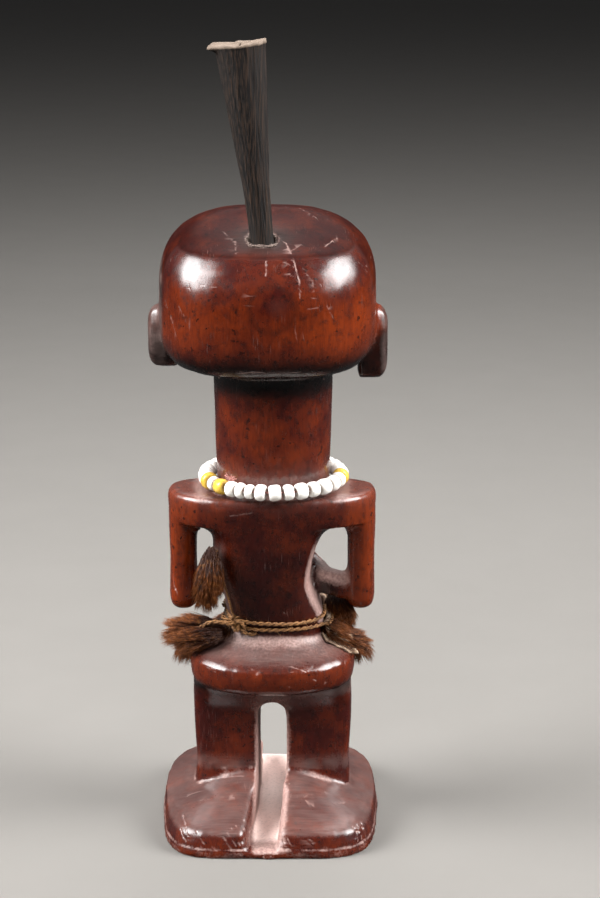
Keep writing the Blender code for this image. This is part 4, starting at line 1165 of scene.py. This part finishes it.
def twisted_plies(route, width, twist, seed):
    """Two strands laid round each other along a route, a little uneven."""
    strands = ([], [])
    walked = 0.0
    for index, point in enumerate(route):
        ahead = route[min(index + 1, len(route) - 1)] - route[max(index - 1, 0)]
        ahead.normalize()
        side = ahead.cross(UP)
        side = side.normalized() if side.length > 0.2 else ahead.cross(Vector((1, 0, 0))).normalized()
        over = side.cross(ahead)
        if index:
            walked += (point - route[index - 1]).length
        wander = 1.0 + 0.25 * noise.noise(Vector((walked / (3 * MM), seed, 0)))
        for strand, phase in zip(strands, (0.0, math.pi)):
            turn = math.tau * walked / twist + phase
            strand.append(point + (side * math.cos(turn) + over * math.sin(turn)) * width * 0.26 * wander)
    return list(strands)


def evened_route(points, spacing):
    """Smooth route through chosen points, with a point every so often."""
    route = []
    for index in range(len(points) - 1):
        before = points[max(0, index - 1)]
        start, end = points[index], points[index + 1]
        after = points[min(len(points) - 1, index + 2)]
        count = max(2, int((end - start).length / spacing))
        for step in range(count):
            t = step / count
            bend = 2 * before - 5 * start + 4 * end - after
            swing = 3 * start - before - 3 * end + after
            route.append(0.5 * ((2 * start) + (end - before) * t + bend * t * t + swing * t ** 3))
    route.append(points[-1].copy())
    return route


def waist_point(trees, angle, height, lift):
    """Place just off whatever lies outermost round the waist at an angle and a height."""
    heading = Vector((math.cos(angle), math.sin(angle), 0.0))
    middle = Vector((1.0 * MM, 2.0 * MM, height))
    far = middle + heading * 0.08
    best = 0.0
    for tree in trees:
        hit = tree.ray_cast(far, -heading)[0]
        if hit:
            best = max(best, (hit - middle).dot(heading))
    return middle + heading * (best + lift)


def waist_loop(trees, height, lift, seed, spacing_angle=2.0):
    """One turn of cord round the waist, slack enough to sag a little between its rests."""
    reaches = []
    count = int(360 / spacing_angle)
    for step in range(count + 1):
        angle = KNOT_ANGLE + math.tau * step / count
        sag = 0.35 * MM * noise.noise(Vector((math.cos(angle) * 1.5, math.sin(angle) * 1.5, seed)))
        reaches.append(waist_point(trees, angle, height + sag, lift))
    eased = reaches[:]
    for _ in range(6):
        middle = [eased[i] * 0.5 + (eased[i - 1] + eased[i + 1]) * 0.25 for i in range(1, count)]
        eased = [eased[0], *middle, eased[-1]]
    return [a if (a - b).dot(Vector((b.x, b.y, 0))) > 0 else b for a, b in zip(eased, reaches)]


def knot_route(centre, size, across, over, out):
    """Overhand knot as a flattened trefoil."""
    route = []
    for step in range(61):
        t = math.tau * step / 60
        reach = 2.0 + math.cos(3 * t)
        place = across * math.cos(2 * t) * reach + over * math.sin(2 * t) * reach * 0.8
        place += out * math.sin(3 * t) * 1.1
        route.append(centre + place * size / 6.0)
    return route


def waist_cord_mesh(trees):
    """Two turns, a knot, its loose ends and the thin cord that holds the tuft."""
    lift = CORD_WIDTH * 0.5
    lower = waist_loop(trees, LOWER_TURN, lift, 1.0)
    upper = waist_loop(trees, UPPER_TURN, lift, 4.0)
    knot = waist_point(trees, KNOT_ANGLE, (LOWER_TURN + UPPER_TURN) / 2, CORD_WIDTH * 1.1)
    out = Vector((math.cos(KNOT_ANGLE), math.sin(KNOT_ANGLE), 0.0))
    across = UP.cross(out)
    routes = [lower, upper]
    routes.append(knot_route(knot, 5.4 * MM, across, UP, out))
    left_end = [knot, knot + Vector((-3.5, -1.8, 1.0)) * MM, knot + Vector((-7.5, -1.6, 1.2)) * MM,
                knot + Vector((-10.6, -0.6, -0.6)) * MM, knot + Vector((-12.6, 0.4, -2.8)) * MM]
    right_end = [knot, knot + Vector((1.4, -1.3, -1.6)) * MM, knot + Vector((3.6, -1.6, -2.6)) * MM,
                 knot + Vector((5.6, -1.2, -2.6)) * MM]
    short_end = [knot, knot + Vector((-2.6, -1.2, 1.6)) * MM, knot + Vector((-4.6, -1.0, 2.8)) * MM]
    meshes = []
    for number, route in enumerate(routes + [left_end, right_end, short_end]):
        fine = evened_route(route, CORD_STEP)
        strands = twisted_plies(fine, CORD_WIDTH, CORD_TWIST, number * 3.0)
        meshes.append(tubes_mesh("strand", strands, CORD_WIDTH * 0.56, 8))
    hanger = []
    for step in range(8):
        share = step / 7
        height = knot.z + 22.5 * MM * share
        angle = math.radians(224 - 5 * share)
        hanger.append(waist_point(trees[:1], angle, height, 0.6 * MM))
    hanger[0] = knot
    fine = evened_route(hanger, CORD_STEP)
    meshes.append(tubes_mesh("hanger", twisted_plies(fine, CORD_WIDTH * 0.62, 2.2 * MM, 9.0), 0.45 * MM, 6))
    whiskers = []
    for route in routes[:2] + [left_end, right_end]:
        for _ in range(40):
            place = route[chance.randrange(len(route))]
            tip = Vector((chance.uniform(-1, 1), chance.uniform(-1, 1), chance.uniform(-0.8, 0.8)))
            outward = Vector((place.x, place.y, 0)).normalized() * 0.6
            start = place + tip * 0.3 * MM
            whiskers.append([start, start + (tip + outward) * 0.7 * MM, start + (tip * 1.6 + outward) * MM])
    meshes.append(tubes_mesh("whiskers", whiskers, 0.09 * MM, 4))
    return joined_mesh("twisted_waist_cord", meshes)


# Skin strip and fur


skin_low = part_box("skin_strip")[0]


def hide_mesh():
    """The skin itself: the CAD strip with a creased surface and a ragged hem."""
    blank = mesh_of(node_shape("skin_strip"), "hide")
    mesh = reworked_mesh(blank, "REMESH", mode="VOXEL", voxel_size=HIDE_VOXEL)
    points = eased_points(mesh, points_of(mesh), 8)
    put_points(mesh, points)
    normals = normals_of(mesh)
    crease = noise_field(points * np.array((1.0, 1.0, 0.4)), 2.4 * MM, 12.0) * 0.22 * MM
    hem = ease((skin_low.z + 3.5 * MM - points[:, 2]) / (3.5 * MM))
    rag = noise_field(points * np.array((1.0, 1.0, 0.0)), 1.6 * MM, 14.0)
    points = points + normals * crease[:, None]
    points[:, 2] += hem * (0.9 + rag) * 0.9 * MM
    over = np.maximum(points[:, 2] - LOWER_TURN, 0.0)
    points[:, 2] -= 0.85 * over * ease((0.006 - points[:, 1]) / 0.006)
    put_points(mesh, points)
    return mesh


# Pale torn edge of the hide on the right hip, as pairs of pixels across it
HEM_PIXELS = (
    ((322, 632), (327, 641)),
    ((328, 635), (334, 643)),
    ((335, 639), (340, 646)),
    ((342, 642), (347, 650)),
    ((349, 645), (353, 653)),
    ((356, 648), (358, 654)),
)


def hide_hem_mesh(surface):
    """Thin torn edge of skin that lies on the right hip."""
    shape = bmesh.new()
    rows = []
    for pair in HEM_PIXELS:
        places = []
        for step in range(4):
            pixel = Vector(pair[0]).lerp(Vector(pair[1]), step / 3)
            seen = seen_place(surface, pixel) or place_at(pixel, rows[-1][step].co.y)
            places.append(seen + (EYE - seen).normalized() * (1.9 + 0.25 * (step % 2)) * MM)
        rows.append([shape.verts.new(place) for place in places])
    for low, high in zip(rows, rows[1:]):
        for corners in zip(low, low[1:], high[1:], high):
            shape.faces.new(corners)
    bmesh.ops.subdivide_edges(shape, edges=shape.edges[:], cuts=3, use_grid_fill=True)
    bmesh.ops.smooth_vert(shape, verts=shape.verts, factor=0.5,
                          use_axis_x=True, use_axis_y=True, use_axis_z=True)
    for corner in shape.verts:
        corner.co += noise.noise_vector(corner.co / (1.5 * MM)) * 0.35 * MM
    bmesh.ops.solidify(shape, geom=shape.faces[:], thickness=0.5 * MM)
    bmesh.ops.recalc_face_normals(shape, faces=shape.faces)
    return mesh_of(shape, "right_hide_edge")


def hair_routes(roots, length, droop, spread, clumps):
    """Bent hairs that start at roots (place, direction); hairs of a clump lean to the same tip."""
    routes = []
    for place, heading in roots:
        reach = length * chance.uniform(0.55, 1.15)
        centre = min(clumps, key=lambda clump: (clump[0] - place).length_squared) if clumps else None
        stray = Vector((chance.gauss(0, 1), chance.gauss(0, 1), chance.gauss(0, 1))) * spread
        lean = (heading + stray).normalized()
        tip = place + lean * reach - UP * droop * reach
        if centre is not None:
            tip = tip.lerp(centre[0] + (centre[1] - UP * droop) * reach, 0.55)
        middle = place.lerp(tip, 0.5) + heading * reach * 0.16
        quarter = place.lerp(middle, 0.5) + heading * reach * 0.06
        routes.append((place, quarter, middle, tip))
    return routes


def fur_mesh(name, routes):
    """Three-sided hairs that taper to a point, with the share of the way to the tip painted on."""
    shape = bmesh.new()
    layer = shape.verts.layers.float.new("along")
    for route in routes:
        width = HAIR_WIDTH * chance.uniform(0.7, 1.2)
        heading = (route[-1] - route[0]).normalized()
        side = heading.orthogonal().normalized()
        other = heading.cross(side)
        turn = chance.uniform(0, math.tau)
        rings = []
        for index, point in enumerate(route[:-1]):
            half = width / 2 * (1.0 - 0.22 * index)
            ring = []
            for corner in range(3):
                angle = turn + math.tau * corner / 3
                vert = shape.verts.new(point + (side * math.cos(angle) + other * math.sin(angle)) * half)
                vert[layer] = index / (len(route) - 1)
                ring.append(vert)
            rings.append(ring)
        tip = shape.verts.new(route[-1])
        tip[layer] = 1.0
        shape.faces.new(rings[0][::-1])
        for low, high in zip(rings, rings[1:]):
            for corner in range(3):
                after = (corner + 1) % 3
                shape.faces.new((low[corner], low[after], high[after], high[corner]))
        for corner in range(3):
            shape.faces.new((rings[-1][corner], rings[-1][(corner + 1) % 3], tip))
    return mesh_of(shape, name)


def surface_roots(mesh, count, keep):
    """Random places on a mesh with their outward directions, where keep allows."""
    mesh.calc_loop_triangles()
    points = points_of(mesh)
    triangles = np.empty(len(mesh.loop_triangles) * 3, dtype=np.int64)
    mesh.loop_triangles.foreach_get("vertices", triangles)
    corners = points[triangles.reshape(-1, 3)]
    cross = np.cross(corners[:, 1] - corners[:, 0], corners[:, 2] - corners[:, 0])
    area = np.linalg.norm(cross, axis=1)
    middle = corners.mean(axis=1)
    allowed = np.array([keep(Vector(place), Vector(way).normalized() if size else UP)
                        for place, way, size in zip(middle, cross, area)])
    weights = area * allowed
    picker = np.random.default_rng(17)
    picked = picker.choice(len(area), size=count, p=weights / weights.sum())
    mix = picker.random((count, 2))
    flip = mix.sum(axis=1) > 1
    mix[flip] = 1 - mix[flip]
    chosen = corners[picked]
    places = chosen[:, 0] + mix[:, :1] * (chosen[:, 1] - chosen[:, 0])
    places = places + mix[:, 1:] * (chosen[:, 2] - chosen[:, 0])
    ways = cross[picked] / area[picked][:, None]
    return [(Vector(place), Vector(way)) for place, way in zip(places, ways)]


def clump_tips(roots, number, heading_of):
    """About so many of the roots, each with the way its clump of hair lies."""
    return [(place, heading_of(place, way)) for place, way in roots[::max(1, len(roots) // number)]]


def skirt_heading(place, way):
    """Hair on the hips lies down and outwards, and sweeps aside at the two ends of the strip."""
    outward = Vector((place.x, place.y, 0.0)).normalized()
    sweep = Vector((math.copysign(1.0, place.x), -0.2, 0.0)) * float(ease((0.004 - place.y) / 0.010))
    fall = 0.15 if place.x > 0.0 and place.y < 0.001 else 0.8
    lay = (outward * 0.45 + way * 0.25 - UP * fall + sweep * 0.35).normalized()
    sunk = max(0.0, 0.22 - lay.dot(way))
    return (lay + way * sunk).normalized()


def fur_pieces(hide, finish):
    """Fur on the outside of the strip, thicker and longer at its two ends."""
    def outside(place, way):
        over_torn_edge = place.x > 0.0 and place.y < 0.001 and place.z < skin_low.z + 4.5 * MM
        outwards = way.dot(Vector((place.x, place.y - 2.0 * MM, 0.0))) > -0.3
        return outwards and place.z < waist + 2.5 * MM and not over_torn_edge

    made = []
    roots = surface_roots(hide, 17000, outside)
    heading = [(place, skirt_heading(place, way), way.z) for place, way in roots]
    clumps = clump_tips(roots, 420, skirt_heading)
    tree = tree_of([place for place, way in clumps])
    for number in range(2):
        share = heading[number::2]
        routes = []
        for place, way, rise in share:
            near = [clumps[tree.find(place)[1]]]
            far_end = float(ease((0.002 - place.y) / 0.010))
            droop = 0.25 * (1.0 - max(0.0, rise))
            routes += hair_routes([(place, way)], (4.6 + 2.6 * far_end) * MM, droop, 0.16, near)
        mesh = fur_mesh(f"skirt_fur_{number + 1}", routes)
        made.append(add_piece(mesh, f"skirt_fur_{number + 1}", finish))
    return made


def side_tuft(name, root, tip, root_width, belly, count, length):
    """Bunch of hair along a core from root to tip, fullest in its lower half."""
    axis = (tip - root).normalized()
    roots = []
    for _ in range(count):
        share = chance.random() ** 0.8
        swell = root_width * 0.3 + belly * math.sin(math.pi * min(1.0, 0.12 + share * 0.8))
        angle = chance.uniform(0, math.tau)
        side = axis.orthogonal().normalized()
        other = axis.cross(side)
        out = side * math.cos(angle) + other * math.sin(angle)
        place = root.lerp(tip, share * 0.75) + out * swell * 0.5 * math.sqrt(chance.random())
        roots.append((place, (axis + out * 0.35).normalized()))
    clumps = [roots[i] for i in range(0, count, max(1, count // 60))]
    tree = tree_of([place for place, way in clumps])
    routes = []
    for place, way in roots:
        near = [clumps[tree.find(place)[1]]]
        routes += hair_routes([(place, way)], length, 0.12, 0.12, near)
    return fur_mesh(name, routes)


# Stage


def build_stage():
    """Pale board under the figure, and a weak grey light from all round."""
    bpy.ops.mesh.primitive_plane_add(size=12.0, location=(0.0, 2.0, 0.0))
    floor = bpy.context.object
    floor.name = "studio_floor"
    floor.data.materials.append(studio_floor())
    world = bpy.data.worlds.new("studio")
    scene.world = world
    world.use_nodes = True
    backdrop = world.node_tree.nodes["Background"]
    backdrop.inputs["Color"].default_value = linear_colour("dcdde0")
    backdrop.inputs["Strength"].default_value = 0.10


def add_softbox(name, place, aim, size, power, spread=180, glossy=True):
    """Rectangular light of a size in metres and a power in watts, turned to its aim."""
    lamp = bpy.data.lights.new(name, "AREA")
    lamp.shape = "RECTANGLE"
    lamp.size = size[0]
    lamp.size_y = size[1]
    lamp.energy = power
    lamp.spread = math.radians(spread)
    holder = bpy.data.objects.new(name, lamp)
    scene.collection.objects.link(holder)
    holder.location = place
    holder.rotation_euler = (Vector(aim) - Vector(place)).to_track_quat("-Z", "Y").to_euler()
    holder.visible_glossy = glossy


def light_stage():
    """Two narrow softboxes high at the sides, a soft fill over the camera and one in front of the face."""
    add_softbox("softbox_left", (-1.0, -0.20, 0.86), (0.0, 0.0, 0.13), (0.95, 0.80), 9.4, 66)
    add_softbox("softbox_right", (1.0, -0.20, 0.86), (0.0, 0.0, 0.13), (0.95, 0.80), 8.6, 66)
    add_softbox("soft_fill", (0.0, -0.85, 0.90), (0.0, 0.0, 0.11), (0.6, 0.5), 6.0, 180, False)
    add_softbox("softbox_front", (0.10, 0.75, 1.20), (0.0, 0.0, 0.12), (1.1, 0.9), 12.0)


def add_flag():
    """Black cloth behind the camera's side that only reflections show, so that the polish stays deep."""
    bpy.ops.mesh.primitive_plane_add(size=1.0, location=(0.0, -0.9, 0.0004))
    card = bpy.context.object
    card.name = "black_flag"
    card.scale = (4.4, 3.4, 1.0)
    card.data.materials.append(black_velvet())
    card.visible_camera = False
    card.visible_diffuse = False
    card.visible_shadow = False


def add_camera():
    """Camera at the photograph's eye."""
    camera = bpy.data.cameras.new("photo_view")
    camera.sensor_fit = "VERTICAL"
    camera.sensor_height = SENSOR
    camera.lens = FOCAL_PIXELS / PHOTO_HEIGHT * SENSOR
    camera.clip_start = 0.01
    camera.clip_end = 50.0
    holder = bpy.data.objects.new("photo_view", camera)
    scene.collection.objects.link(holder)
    holder.location = EYE
    holder.rotation_euler = (math.radians(90) - EYE_TILT, 0.0, 0.0)
    scene.camera = holder


def build():
    """Stage, lights and camera, then each piece of the figure."""
    add_camera()
    build_stage()
    light_stage()
    add_flag()
    scene.view_settings.view_transform = "Standard"

    carving = even_figure_mesh()
    finish_carving(carving)
    wood_surface = surface_tree(carving)
    add_piece(carving, "carved_figure", oiled_hardwood(wood_surface), ("figure",))
    add_piece(horn_mesh(), "fibrous_crown_horn", weathered_horn(), ("crown_horn",))

    crust = earth_crust_mesh(wood_surface)
    add_piece(crust, "earth_crust_round_horn", dried_earth())

    white = wound_glass("white_wound_glass", "f0ede8", "e2dcd4", "7c685a")
    yellow = wound_glass("yellow_wound_glass", "dab84e", "c29733", "5e3f1b")
    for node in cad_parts:
        if node.startswith("bead_white"):
            bead_piece(node, white)
        elif node.startswith("bead_yellow"):
            bead_piece(node, yellow)
    thread = necklace_thread_mesh()
    add_piece(thread, "twisted_necklace_thread", cotton_thread(), ("necklace_thread",))

    hide = hide_mesh()
    fur = coarse_fur()
    hide_finish = raw_hide()
    strip = add_piece(hide, "dried_skin_strip", hide_finish, ("skin_strip",))
    hair = fur_pieces(hide, fur)

    trees = (wood_surface, surface_tree(hide))
    cord = waist_cord_mesh(trees)
    add_piece(cord, "twisted_waist_cord", plant_fibre(), ("waist_cord",))
    tuft_low, tuft_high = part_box("hair_tuft")
    depth = (tuft_low.y + tuft_high.y) / 2
    tuft = side_tuft("hanging_fur_tuft", place_at((213, 547), depth), place_at((205, 607), depth - 0.6 * MM),
                     0.8 * MM, 6.6 * MM, 5600, 6.0 * MM)
    add_piece(tuft, "hanging_fur_tuft", fur, ("hair_tuft",))
    left = side_tuft("left_end_fur", place_at((224, 633), -10.5 * MM), place_at((167, 630), -4.0 * MM),
                     2.6 * MM, 8.6 * MM, 5600, 6.5 * MM)
    right = side_tuft("right_end_fur", place_at((333, 592), 5.0 * MM), place_at((345, 626), 3.5 * MM),
                      3.0 * MM, 7.0 * MM, 5000, 4.6 * MM)
    hair.append(add_piece(left, "left_end_fur", fur))
    hair.append(add_piece(right, "right_end_fur", fur))
    hem = add_piece(hide_hem_mesh(wood_surface), "right_hide_edge", hide_finish)


build()
